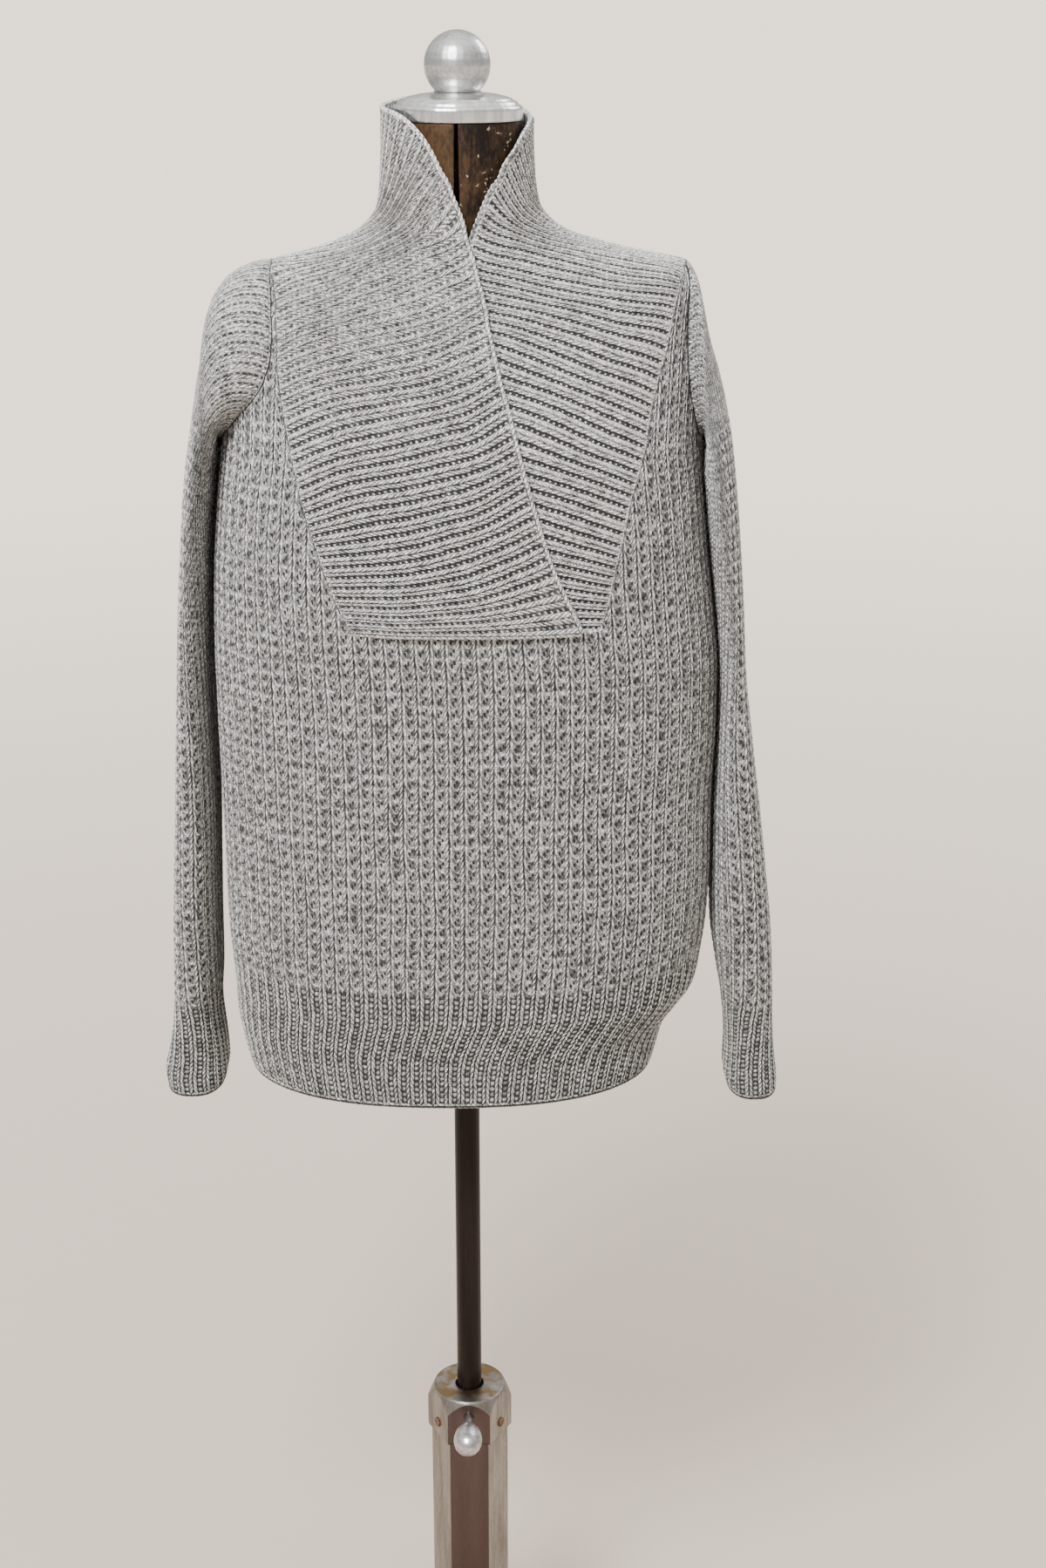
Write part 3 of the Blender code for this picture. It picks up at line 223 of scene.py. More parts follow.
# ---- stitches ----
# A pattern gives the knit's height, from 0 in a hole to 1 on a strand, at a wale number
# (one rib and the valley beside it) and a row number. The numbers are arrays where it
# shapes a mesh, and Fields where it makes a material.
class Field:
    """A number that varies over a surface: the output of a shader's Math node."""

    def __init__(self, tree, socket):
        self.tree = tree
        self.socket = socket

    def math(self, operation, *others):
        node = self.tree.nodes.new("ShaderNodeMath")
        node.operation = operation
        for socket, value in zip(node.inputs, (self, *others)):
            if isinstance(value, Field):
                self.tree.links.new(value.socket, socket)
            else:
                socket.default_value = value
        return Field(self.tree, node.outputs[0])

    def __add__(self, other):
        return self.math("ADD", other)

    def __sub__(self, other):
        return self.math("SUBTRACT", other)

    def __rsub__(self, other):
        return self.math("MULTIPLY_ADD", -1, other)

    def __mul__(self, other):
        return self.math("MULTIPLY", other)

    def __neg__(self):
        return self * -1

    __radd__ = __add__
    __rmul__ = __mul__


def either(operation, plain):
    """One function for Fields and for arrays."""
    def apply(value, *others):
        if isinstance(value, Field):
            return value.math(operation, *others)
        return plain(value, *others)
    return apply


fraction = either("FRACT", lambda value: value - np.floor(value))
size_of = either("ABSOLUTE", np.abs)
least = either("MINIMUM", np.minimum)
most = either("MAXIMUM", np.maximum)
raised = either("POWER", np.power)
DOME_ROUNDNESS, STRAND_ROUNDNESS = 0.6, 1.6
BAND_SLOPE = 0.07  # part of a wale over which a band's edge falls


def step_up(value, low, high):
    t = most(least((value - low) * (1 / (high - low)), 1), 0)
    return t * t * (3 - 2 * t)


def dome(across, along, half_width, half_length):
    """Round bump of height 1 in the middle, 0 outside its half sizes."""
    across, along = across * (1 / half_width), along * (1 / half_length)
    return raised(most(1 - (across * across + along * along), 0), DOME_ROUNDNESS)


def strand(phase):
    """Rounded strands side by side: 1 along each one's middle, 0 where two meet."""
    return 1 - raised(size_of(fraction(phase) * 2 - 1), STRAND_ROUNDNESS)


def between(across, half_width):
    """1 within a band of the wale, 0 outside it."""
    return 1 - step_up(size_of(across), half_width - BAND_SLOPE, half_width)


def leg(beside, row, lean, width, count, firmness, crease):
    """One half of a chain of stitches: strands that slant away from its middle."""
    inner = most(step_up(beside, 0.005, 0.095), between(beside, 0.15) * crease)
    band = inner * (1 - step_up(beside - width, -0.08, 0.04))
    ridge = strand((row + least(beside, width) * lean) * count)
    return band * (firmness + (1 - firmness) * ridge)


def chain(wale, row, legs, count, firmness, crease, faint):
    """Both halves of a chain. The left one has more strands, or is fainter."""
    x = fraction(wale + 0.5) - 0.5
    right, right_width, left, left_width = legs
    return most(leg(x, row, right, right_width, 1, firmness[0], crease),
                leg(-x, row, left, left_width, count, firmness[1], crease) * faint)


# lean (rows a wale), width in wales: of the right legs, then of the left ones
RIB_LEGS = (4.2, 0.32, 3.8, 0.28)
BODY_LEGS = (3, 0.26, 2.2, 0.28)
COLLAR_LEGS = (-4.5, 0.38, -4, 0.34)
FIRMNESS = (0.4, 0.36)  # height of the legs where two strands meet


def rib_knit(wale, row):
    """Single rib: chains with a column of small beads between them."""
    across = fraction(wale) - 0.52
    bead = dome(across, fraction(row + 0.35) - 0.5, 0.19, 0.42)
    return most(chain(wale, row, RIB_LEGS, 1, FIRMNESS, 0.12, 0.94),
                0.14 * between(across, 0.2) + 0.5 * bead)


def body_knit(wale, row):
    """Half fisherman's rib: long chains, and loops with dark holes between them."""
    crease = 0.24 + 0.16 * strand(row + 0.3)
    chains = chain(wale, row, BODY_LEGS, 2, FIRMNESS, crease, 0.97)
    across = fraction(wale) - 0.48
    bow = fraction(row + 0.18 - across * across * 6 + across * 0.4) - 0.5
    loop = raised(most(1 - bow * bow * 36, 0), DOME_ROUNDNESS) * between(across, 0.27)
    hole = dome(across + 0.1, fraction(row + 0.76) - 0.5, 0.1, 0.21)
    small = dome(across - 0.1, fraction(row + 0.46) - 0.5, 0.09, 0.17)
    rest = most(0.46 - 0.6 * hole - 0.52 * small, 0) * between(across, 0.31)
    return most(most(chains, 0.7 * loop), rest)


def collar_knit(wale, row, gap, calm):
    """Fisherman's rib knit sideways: chains with a ladder of open stitches between.

    The ladder is as open as gap says, and calm chains hardly show their strands.
    """
    upper, upper_width, lower, lower_width = COLLAR_LEGS
    shut = 1 - gap
    legs = upper, upper_width + 0.03 * shut, lower, lower_width + 0.05 * shut
    chains = chain(wale, row, legs, 1, (0.58 + 0.22 * calm, 0.38 + 0.35 * calm),
                   0.36 + 0.3 * calm + 0.1 * shut, 1)
    ladder = fraction(wale) - 0.47
    rung = 1 - step_up(size_of(fraction(row + ladder) - 0.5), 0.12, 0.3)
    open_stitch = 0.76 * rung * between(ladder, 0.12)
    drawn = (0.38 - 0.3 * calm + 0.24 * rung) * between(ladder - 0.02, 0.2)
    return most(chains, drawn + (open_stitch - drawn) * gap)


def mixed(first, second, share):
    return first + (second - first) * share


BAND_ROWS = 22  # rows in the rib band of the hem and cuffs
HEAD_ROWS = (72, 75.5)  # rows over which a sleeve's stitches become those of its head
HEAD_WALES, HEAD_STITCHES = 1.5, 2  # finer wales and rows of the sleeve's head


def body_pattern(wale, row):
    """Rib band below, long stitches above it."""
    share = step_up(row, BAND_ROWS - 0.5, BAND_ROWS + 0.5)
    return mixed(rib_knit(wale, row), body_knit(wale, row), share)


def sleeve_pattern(wale, row):
    """The body's pattern, with small crowded stitches over the shoulder."""
    head = collar_knit(wale * HEAD_WALES, row * HEAD_STITCHES, 0.12, 0.25)
    return mixed(body_pattern(wale, row), head, step_up(row, *HEAD_ROWS))


def sleeve_relief(wale, row):
    """Height of a sleeve's mesh: over the shoulder only its ribs stand out."""
    rib = size_of(fraction(wale * HEAD_WALES) - 0.5)
    return mixed(body_pattern(wale, row), 0.55 + 0.6 * rib, step_up(row, *HEAD_ROWS))


# ---- charts: a surface by wale and row ----
CHART_STEP = 0.125
CHART_RIM = 0.001  # grid steps kept inside a chart's last row and column
OVERSHOOT = 0.2  # rows by which a chart goes on past its last edge


class Chart:
    """Points and outward normals of a surface on an even grid of rows and wales."""

    def __init__(self, wales, rows, points, normals):
        self.first_wale, self.first_row = wales[0], rows[0]
        self.grids = points, normals

    def at(self, wale, row):
        """Points and normals at wale and row numbers, between those of the grid."""
        wale, row = np.broadcast_arrays(wale, row)
        height, width = self.grids[0].shape[:2]
        i = np.clip((row - self.first_row) / CHART_STEP, 0, height - 1 - CHART_RIM)
        j = np.clip((wale - self.first_wale) / CHART_STEP, 0, width - 1 - CHART_RIM)
        low_i, low_j = i.astype(int), j.astype(int)
        up, over = (i - low_i)[..., None], (j - low_j)[..., None]
        found = []
        for grid in self.grids:
            near, far = [grid[line, low_j] * (1 - over) + grid[line, low_j + 1] * over
                         for line in (low_i, low_i + 1)]
            found.append(near * (1 - up) + far * up)
        return found[0], unit(found[1])


def even(low, high):
    """Evenly spaced chart positions that cover a span."""
    count = int(math.ceil((high - low) / CHART_STEP)) + 1
    return low + CHART_STEP * np.arange(count)


def nearest(*distances):
    """Smallest of some distances from edges, and 0 past an edge."""
    return np.maximum(np.minimum.reduce(distances), 0)


def lengths(points):
    """Distance from the first point to each, along the last-but-one axis."""
    steps = np.linalg.norm(np.diff(points, axis=-2), axis=-1)
    return np.concatenate([np.zeros(steps.shape[:-1] + (1,)), np.cumsum(steps, axis=-1)], -1)


def faced(points):
    """Normals of a grid of points."""
    return unit(np.cross(np.gradient(points, axis=1), np.gradient(points, axis=0)))


def read_along(places, points, spots):
    """Points at spots on a line, given the place of each of its own points."""
    return np.stack([np.interp(spots, places, points[:, axis]) for axis in range(3)], -1)


def read_lines(places, lines, spots):
    """The same for each of several lines, as columns of a grid."""
    return np.stack([read_along(*line, spots) for line in zip(places, lines)], axis=1)


def chart_of(wales, rows, row_numbers, lines):
    """Chart from points and normals along the wales, given their row numbers."""
    points, normals = [read_lines(row_numbers, grid, rows) for grid in lines]
    return Chart(wales, rows, points, unit(normals))


# ---- walls of knit ----
DEPTH = 0.0021  # from the deepest hole to the top of a strand
REST = 0.72  # height of the pattern that lies on the solid's surface
EDGE_FADE = 0.0014  # width over which the knit sinks at an edge
EDGE_SINK = 0.0004
UNEVEN_FROM = 0.001, 0.03  # distances from an edge over which the stitches become uneven
FINENESS = 1e6  # steps a metre: points of two blocks on the same step are one
WALE_PLACES = (0, 0.09, 0.2, 0.33, 0.5, 0.67, 0.8, 0.91)
BACK_PLACES = (0, 0.11, 0.26, 0.5, 0.74, 0.89)
SLEEVE_PLACES = (0, 0.1, 0.22, 0.4, 0.6, 0.78, 0.9)
COARSE = len(WALE_PLACES)  # columns outside to one column inside


def unevenness(wale, row):
    """Parts of a wale and of a row by which hand-knitted stitches stray: long soft waves
    and short ones."""
    aside = (0.03 * np.sin(0.83 * wale + 0.37 * row + np.sin(0.21 * row))
             + 0.018 * np.sin(2.9 * wale - 1.7 * row + 1.3))
    upward = (0.07 * np.sin(0.71 * wale + 0.53 * row + 2 * np.sin(0.4 * wale))
              + 0.05 * np.sin(2.3 * wale - 0.9 * row))
    return aside, upward


class Wall:
    """Mesh of a piece of cloth: knitted outside, plain inside, and closed edges."""

    def __init__(self, chart, relief, reach):
        self.chart = chart
        self.relief = relief  # (wale, row) to height of the pattern
        self.reach = reach  # (wale, row) to distance from the nearest edge
        self.outer, self.twins, self.uv = [], [], []
        self.cells, self.inner = [], []
        self.count = 0

    def add(self, wale, row, legs):
        """A block of rows and columns. Shared rows of two blocks are merged."""
        distance = self.reach(wale, row)
        x = fraction(wale + 0.5) - 0.5
        right, right_width, left, left_width = legs
        drop = np.where(x > 0, right * np.minimum(x, right_width),
                        left * np.minimum(-x, left_width))
        free = ease(distance, *UNEVEN_FROM)
        row_here = row - drop * free
        aside, upward = unevenness(wale, row)
        point, normal = self.chart.at(wale + free * aside, row_here + free * upward)
        height = (self.relief(wale, row_here) - REST) * DEPTH
        sink = 1 - ease(distance, 0, EDGE_FADE)
        height = height * (1 - sink) - EDGE_SINK * sink
        self.outer.append((point + normal * height[..., None]).reshape(-1, 3))
        self.twins.append((point - normal * WALL).reshape(-1, 3))
        self.uv.append(np.stack([wale, row_here], -1).reshape(-1, 2))
        rows, columns = wale.shape
        number = self.count + np.arange(rows * columns).reshape(rows, columns)
        self.count += rows * columns
        self.cells += np.stack([number[:-1, :-1], number[:-1, 1:], number[1:, 1:],
                                number[1:, :-1]], -1).reshape(-1, 4).tolist()
        coarse = sorted(set(range(0, columns, COARSE)) | {columns - 1})
        for i in range(rows - 1):
            for left, right in zip(coarse, coarse[1:]):
                near = range(left, right + 1) if i == 0 else (left, right)
                far = range(right, left - 1, -1) if i == rows - 2 else (right, left)
                self.inner.append([number[i, j] for j in near] + [number[i + 1, j] for j in far])

    def build(self, name, finish, flip=False, cords=()):
        outer, twins, uv = [np.concatenate(part) for part in (self.outer, self.twins, self.uv)]
        _, first, same = np.unique(np.round(twins * FINENESS).astype(np.int64), axis=0,
                                   return_index=True, return_inverse=True)
        same = same.reshape(-1)
        outer, twins, uv = outer[first], twins[first], uv[first]
        faces = distinct(same, self.cells)
        edges = set()
        for face in faces:
            edges.update(zip(face, face[1:] + face[:1]))
        below = len(outer)
        faces += [[below + corner for corner in reversed(face)]
                  for face in distinct(same, self.inner)]
        faces += [[end, start, below + start, below + end] for start, end in edges
                  if (end, start) not in edges]
        if flip:
            faces = [face[::-1] for face in faces]
        points, places = [outer, twins], [uv, uv]
        total = 2 * below
        for cord_points, cord_faces, cord_places in cords:
            faces += [[total + corner for corner in face] for face in cord_faces]
            points.append(cord_points)
            places.append(cord_places)
            total += len(cord_points)
        obj = mesh_object(name, np.concatenate(points), faces, finish)
        corner = np.empty(len(obj.data.loops), np.int32)
        obj.data.loops.foreach_get("vertex_index", corner)
        spots = np.concatenate(places).astype(np.float32)[corner]
        obj.data.uv_layers.new(name="knit").data.foreach_set("uv", spots.reshape(-1))
        obj.data.shade_smooth()
        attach(obj, "figure")
        return obj


def distinct(same, faces):
    """Faces with corners that coincide dropped, and without those that close up."""
    kept = [list(dict.fromkeys(same[face].tolist())) for face in faces]
    return [face for face in kept if len(face) > 2]


def in_scene(name, data):
    obj = bpy.data.objects.new(name, data)
    bpy.context.scene.collection.objects.link(obj)
    return obj


def mesh_object(name, points, faces, finish):
    mesh = bpy.data.meshes.new(name)
    mesh.from_pydata([tuple(point) for point in points], [], faces)
    mesh.update()
    mesh.materials.append(finish)
    return in_scene(name, mesh)


EDGE_CORD, HEM_CORD, SEAM_CORD = 0.0028, 0.0023, 0.0013
EDGE_TURN = 0.08  # part of a wale by which an edge's chain is turned to the front
SEAM_SINK = 0.0009  # how far a seam's chain lies below the surface
CORD_SIDES = 10
CORD_ROWS = 4  # rings of points a stitch
CORD_STITCH = 0.0046
CORD_WALE = 0.8  # part of a wale that goes round a cord
CORD_CORE, CORD_RELIEF = 0.7, 0.38  # parts of a cord's radius
CORD_POINTS = 300


def cord(path, outward, radius, sink, turned=0):
    """Chain of stitches along an edge or a seam: its centre lies sink below the path."""
    along = lengths(path)
    stitches = max(2, round(along[-1] / CORD_STITCH))
    row = np.arange(stitches * CORD_ROWS + 1) / CORD_ROWS
    spots = row / stitches * along[-1]
    centre, normal = [read_along(along, line, spots) for line in (path, outward)]
    tangent = unit(np.gradient(centre, axis=0))
    aside = unit(np.cross(tangent, normal))
    normal = unit(np.cross(aside, tangent))
    centre = centre - normal * sink
    x = np.arange(CORD_SIDES) / CORD_SIDES - 0.5
    wale, rows = np.meshgrid(CORD_WALE * x + turned, row - stitches - 2)
    size = radius * (CORD_CORE + CORD_RELIEF * rib_knit(wale, rows))[..., None]
    turn = 2 * math.pi * x[None, :, None]
    around = np.cos(turn) * normal[:, None] + np.sin(turn) * aside[:, None]
    points = (centre[:, None] + size * around).reshape(-1, 3)
    number = np.arange(len(points)).reshape(-1, CORD_SIDES)
    beside = np.roll(number, -1, axis=1)
    faces = np.stack([number[:-1], number[1:], beside[1:], beside[:-1]], -1).reshape(-1, 4)
    ends = [number[0].tolist(), number[-1, ::-1].tolist()]
    return points, faces.tolist() + ends, np.stack([wale, rows], -1).reshape(-1, 2)


def snapped(columns, low, high):
    """Columns of a row cut off at two edges, which the nearest columns move onto."""
    row = columns.copy()
    first = int(np.argmin(np.abs(columns - low)))
    last = int(np.argmin(np.abs(columns - high)))
    row[:first + 1] = low
    row[last:] = high
    return row


RIB_PLACES = (0, 0.33, 0.67)
BODY_PLACES = (0, 0.25, 0.5, 0.75)
ROW_MARGIN, COLLAR_MARGIN = 0.08, 0.04  # clear of the first and last row or column


def repeated(places, low, high, margin=0):
    """Places within a wale or a row, repeated from low to high."""
    whole = np.arange(math.floor(low), math.ceil(high) + 1)
    spots = (whole[:, None] + np.array(places)).reshape(-1)
    return spots[(spots > low + margin) & (spots < high - margin)]


def mesh_rows(first, last):
    """Rows of points from a rib band's first row up to the last of the long stitches."""
    band = repeated(RIB_PLACES, first, BAND_ROWS, ROW_MARGIN)
    above = repeated(BODY_PLACES, BAND_ROWS, last, ROW_MARGIN)
    return np.concatenate([[first], band, [BAND_ROWS], above])


# ---- front and back ----
BAND_ROW, LONG_ROW = 0.0048, 0.0098  # heights of a row of the rib band and of the body
WALE = 0.0117  # width of a rib and its valley, on the body
HALF_WALES = 22.5  # from the middle of the front or back to the side seam
MOST_WALES = 30  # from the middle to the end of a panel's chart
SIDE_PULL = SEAM_GAP / WALE
MERIDIAN = 0.9  # angle from the middle along which a panel's rows are counted
WIDEST = 2.6  # largest angle from the middle on a panel's chart
FINE = 521  # points along a meridian or a ring


def body_legs(rows):
    """Leans and widths of the chains' legs on each row, as columns."""
    share = ease(rows, BAND_ROWS - 0.5, BAND_ROWS + 0.5)[:, None]
    return [mixed(rib, body, share) for rib, body in zip(RIB_LEGS, BODY_LEGS)]


class BodyPanel:
    """Wales and rows on the front (middle 0) or the back (middle 180 degrees)."""

    def __init__(self, middle):
        self.rings = np.linspace(0, COLLAR_TOP, FINE)
        along = lengths(garment_point(middle + MERIDIAN, self.rings))
        band = np.interp(BAND_TOP, self.rings, along)
        self.row_numbers = np.where(self.rings < BAND_TOP, along / band * BAND_ROWS,
                                    BAND_ROWS + (along - band) / LONG_ROW)
        self.top = float(self.row(SHOULDER))
        self.turn = np.linspace(-WIDEST, WIDEST, FINE)
        rows, wales = even(0, self.top + 1), even(-MOST_WALES, MOST_WALES)
        ring = self.ring(rows)
        self.length = lengths(garment_point(middle + self.turn, ring[:, None]))
        self.length -= self.length[:, FINE // 2][:, None]
        quarter = np.array([np.interp(math.pi / 2, self.turn, row) for row in self.length])
        under = np.interp(UNDERARM, ring, quarter)
        self.width = np.where(ring < UNDERARM, quarter, under) / HALF_WALES
        angle = np.array([np.interp(wales * width, row, self.turn)
                          for width, row in zip(self.width, self.length)])
        points = garment_point(middle + angle, ring[:, None])
        self.chart = Chart(wales, rows, points, faced(points))
        self.last = len(rows) - 1

    def ring(self, row):
        return np.interp(row, self.row_numbers, self.rings)

    def row(self, ring):
        return np.interp(ring, self.rings, self.row_numbers)

    def wale(self, angle, row):
        """Wale number of an angle from the panel's middle, at each of some rows."""
        found = []
        for turn, here in zip(angle, row):
            i = int(np.clip(round(here / CHART_STEP), 0, self.last))
            found.append(np.interp(turn, self.turn, self.length[i]) / self.width[i])
        return np.array(found)

    def set_sides(self, low, high):
        """Rows of the mesh, one of them at the collar's foot, and the edges on each."""
        rows = np.append(mesh_rows(0, self.top), self.top)
        foot = float(self.row(COLLAR_FOOT))
        self.foot = int(np.argmin(np.abs(rows - foot)))
        rows[self.foot] = foot
        self.rows = rows
        self.low = self.wale(low(self.ring(rows)), rows) + SIDE_PULL
        self.high = self.wale(high(self.ring(rows)), rows) - SIDE_PULL

    def reach(self, wale, row):
        """Distance from the sides, the hem and the shoulder."""
        low, high = [np.interp(row, self.rows, edge) for edge in (self.low, self.high)]
        edge = np.minimum(wale - low, high - wale) * WALE
        return nearest(edge, row * BAND_ROW, (self.top - row) * LONG_ROW)

    def hem(self):
        across = np.linspace(self.low[0], self.high[0], CORD_POINTS)
        return cord(*self.chart.at(across, 0), HEM_CORD, WALL / 2)


def side_angle(column, ring):
    """Angle of a side seam, and above the underarm of an armhole's edge."""
    edge = np.radians(np.interp(ring, ARM_RINGS, ARMHOLE[:, column]))
    return np.where(ring > UNDERARM, edge, math.pi / 2)


def seam_angle(side_column, ring):
    angles, rings = locate(COLLAR_SEAM[:, side_column], COLLAR_SEAM[:, 0])
    return np.interp(ring, rings, angles)


def make_front(finish):
    panel = BodyPanel(0)
    panel.set_sides(lambda ring: -side_angle(1, ring), lambda ring: side_angle(3, ring))
    rows, foot = panel.rows, panel.foot
    above = np.maximum(panel.ring(rows), COLLAR_FOOT)
    rows_above = np.maximum(rows, rows[foot])
    notch_low = panel.wale(seam_angle(1, above), rows_above) - SIDE_PULL
    notch_high = panel.wale(seam_angle(2, above), rows_above) + SIDE_PULL

    def reach(wale, row):
        low, high = np.interp(row, rows, notch_low), np.interp(row, rows, notch_high)
        beside = np.maximum(np.maximum(low - wale, wale - high), 0) * WALE
        below = np.maximum(rows[foot] - row, 0) * LONG_ROW
        return np.minimum(panel.reach(wale, row), np.hypot(beside, below))

    wall = Wall(panel.chart, body_pattern, reach)
    columns = repeated(WALE_PLACES, panel.low.min(), panel.high.max())
    legs = body_legs(rows)
    body = np.array([snapped(columns, panel.low[i], panel.high[i]) for i in range(foot + 1)])
    for edge in (notch_low[foot], notch_high[foot]):
        body[foot, int(np.argmin(np.abs(columns - edge)))] = edge
    wall.add(body, np.broadcast_to(rows[:foot + 1, None], body.shape),
             [part[:foot + 1] for part in legs])
    for low, high in ((panel.low, notch_low), (notch_high, panel.high)):
        strip = np.array([snapped(columns, low[i], high[i]) for i in range(foot, len(rows))])
        used = (np.ptp(strip, axis=0) > 0) | (strip[0] > low[foot]) & (strip[0] < high[foot])
        used[:-1] |= used[1:]
        used[1:] |= used[:-1]
        strip = strip[:, used]
        wall.add(strip, np.broadcast_to(rows[foot:, None], strip.shape),
                 [part[foot:] for part in legs])
    return wall.build("front_knit", finish, cords=[panel.hem()])


def make_back(finish):
    panel = BodyPanel(math.pi)
    panel.set_sides(lambda ring: side_angle(4, ring) - math.pi,
                    lambda ring: math.pi - side_angle(2, ring))
    wall = Wall(panel.chart, body_pattern, panel.reach)
    columns = repeated(BACK_PLACES, panel.low.min(), panel.high.max())
    body = np.array([snapped(columns, *edges) for edges in zip(panel.low, panel.high)])
    wall.add(body, np.broadcast_to(panel.rows[:, None], body.shape), body_legs(panel.rows))
    return wall.build("back_knit", finish, cords=[panel.hem()])


# ---- sleeves ----
AROUND = 240  # points of a loop
ALONG = 601  # loops from the armhole to the cuff, on the smooth surface
CUFF_ROWS = 20
CUFF_LENGTH = 0.088
CUFF_POINTS = 200
HEAD_FADE = 0.8  # part of a long row's height to which rows shrink at the armhole


def armhole_loop(side):
    """Angles and rings round an armhole, from its top down the front and up the back."""
    front, back = ARMHOLE[:, (1, 2) if side < 0 else (3, 4)].T
    angle = np.concatenate([[90], front[:0:-1], [90], back[1:]])
    ring = np.concatenate([ARM_RINGS[-1:], ARM_RINGS[:0:-1], ARM_RINGS])
    return np.column_stack([np.radians(angle) * side, ring])


def sleeve_loops(side, loops):
    """Closely spaced points round each loop of a sleeve, the armhole's first."""
    corners = armhole_loop(side)
    share = np.arange(AROUND) / AROUND
    angle, ring = smooth_rows(np.vstack([corners, corners[:1]]), share * len(corners)).T
    top = garment_point(angle, ring)
    turn = 2 * math.pi * share
    power = 2 / SLEEVE_SQUARENESS
    outward, forward = signed_power(np.cos(turn), power), signed_power(np.sin(turn), power)
    found = [top]
    for outer_x, outer_z, inner_x, inner_z, front_y, back_y in loops:
        outer, inner = np.array([outer_x, 0, outer_z]), np.array([inner_x, 0, inner_z])
        points = (outer + inner + outward[:, None] * (outer - inner)) / 2
        points[:, 0] *= side
        points[:, 1] = -forward * np.where(forward > 0, front_y, back_y)
        found.append(points)
    normal = garment_normal(angle, ring)
    for loop, (part, stand) in enumerate(SLEEVE_HEAD, start=1):
        straight = top + normal * stand * (1 - normal[:, 2:])
        found[loop] = straight + (found[loop] - straight) * part
    return np.array(found)


def make_sleeve(name, side, loops, finish):
    """Sleeve knit down to its rib cuff, with its seam on the side towards the body."""
    control = sleeve_loops(side, loops)
    half = AROUND // 2
    order = np.arange(-half, half + 1) % AROUND
    at = np.linspace(0, len(control) - 1, ALONG)
    surface = smooth_rows(control.reshape(len(control), -1), at).reshape(ALONG, -1, 3)
    surface = surface[::-1, order]
    normal = faced(surface)
    outward = np.sign(normal[ALONG // 2, half, 0] * side)
    normal *= outward
    normal[:, 0] = normal[:, -1] = unit(normal[:, 0] + normal[:, -1])
    length = lengths(surface)
    length -= length[:, half][:, None]
    reach_out = length[:, -1] / WALE
    widest = math.ceil(reach_out.max()) + 1
    wales = even(-widest, widest)
    # Lines of equal wale number, from the cuff to the armhole, then rows along each.
    lines = [read_lines(length, grid, wales * WALE) for grid in (surface, normal)]
    up = lengths(lines[0])
    first = float(BAND_ROWS - CUFF_ROWS)
    row_of = np.where(up < CUFF_LENGTH, first + up / CUFF_LENGTH * CUFF_ROWS,
                      BAND_ROWS + (up - CUFF_LENGTH) / LONG_ROW)
    top, seam_row = row_of[:, -1], row_of[-1]
    last = top.max() + OVERSHOOT
    chart = chart_of(wales, even(first, last), row_of, lines)
    spots = mesh_rows(first, last)
    high = np.interp(spots, seam_row, reach_out)
    columns = repeated(SLEEVE_PLACES, -high.max(), high.max())
    wale = np.array([snapped(columns, -edge, edge) for edge in high])
    row = np.stack([snapped(spots, first, end) for end in np.interp(columns, wales, top)], 1)

    def reach(wale, row):
        edge = (np.interp(row, seam_row, reach_out) - np.abs(wale)) * WALE
        end = (np.interp(wale, wales, top) - row) * LONG_ROW * HEAD_FADE
        return nearest(edge, (row - first) * BAND_ROW, end)

    wall = Wall(chart, sleeve_relief, reach)
    wall.add(wale, row, body_legs(spots))
    join_seam(wall, wale.shape)
    cuff = chart.at(np.linspace(-high[0], high[0], CUFF_POINTS), first)
    half_loop = np.interp(top[-1], seam_row, reach_out)
    around = np.linspace(-half_loop, half_loop, CORD_POINTS)
    armhole = chart.at(around, np.interp(around, wales, top))
    cords = [cord(*cuff, HEM_CORD, WALL / 2), cord(*armhole, SEAM_CORD, SEAM_SINK)]
    return wall.build(name, finish, outward < 0, cords)


SNUG_GAP = 0.0017
SNUG_LOW, SNUG_HIGH = 0.87, 1.26  # heights between which the left sleeve touches the body


def snug(loops):
    """A left sleeve's loops, with the inner side lying against the body."""
    body = np.interp(loops[:, 3], RINGS[:, 0], RINGS[:, 3] + RINGS[:, 4]) + SNUG_GAP
    beside = (loops[:, 3] > SNUG_LOW) & (loops[:, 3] < SNUG_HIGH)
    closer = loops.copy()
    closer[beside, 2] = np.minimum(loops[beside, 2], body[beside])
    return closer


def join_seam(wall, shape):
    """Closes a tube: its first and last columns become the same points."""
    for grid in (wall.outer, wall.twins):
        points = grid[0].reshape(*shape, 3)
        points[:, 0] = points[:, -1] = (points[:, 0] + points[:, -1]) / 2


# ---- collar ----
COLLAR_STITCH = 0.00467
COLLAR_WALE = 0.009  # usual width of a collar rib and its valley
QUARTERS = np.array([0.25, 0.5, 0.75])
LINE = 1201  # points of a seam or a free edge, and ribs on the smooth surface
RIB_POINTS = 81
EDGE_POINTS = 900


def free_edge(side):
    """Closely spaced angles and rings along the free edge of one half."""
    column = 0 if side < 0 else 2
    chest = np.column_stack(locate(FREE_EDGE[:, column], FREE_EDGE[:, column + 1]))
    neck = NECK_EDGE[:, column:column + 2] * (math.radians(side), 1)
    corners = np.vstack([chest, neck])
    return smooth_rows(corners, np.linspace(0, len(corners) - 1, LINE))


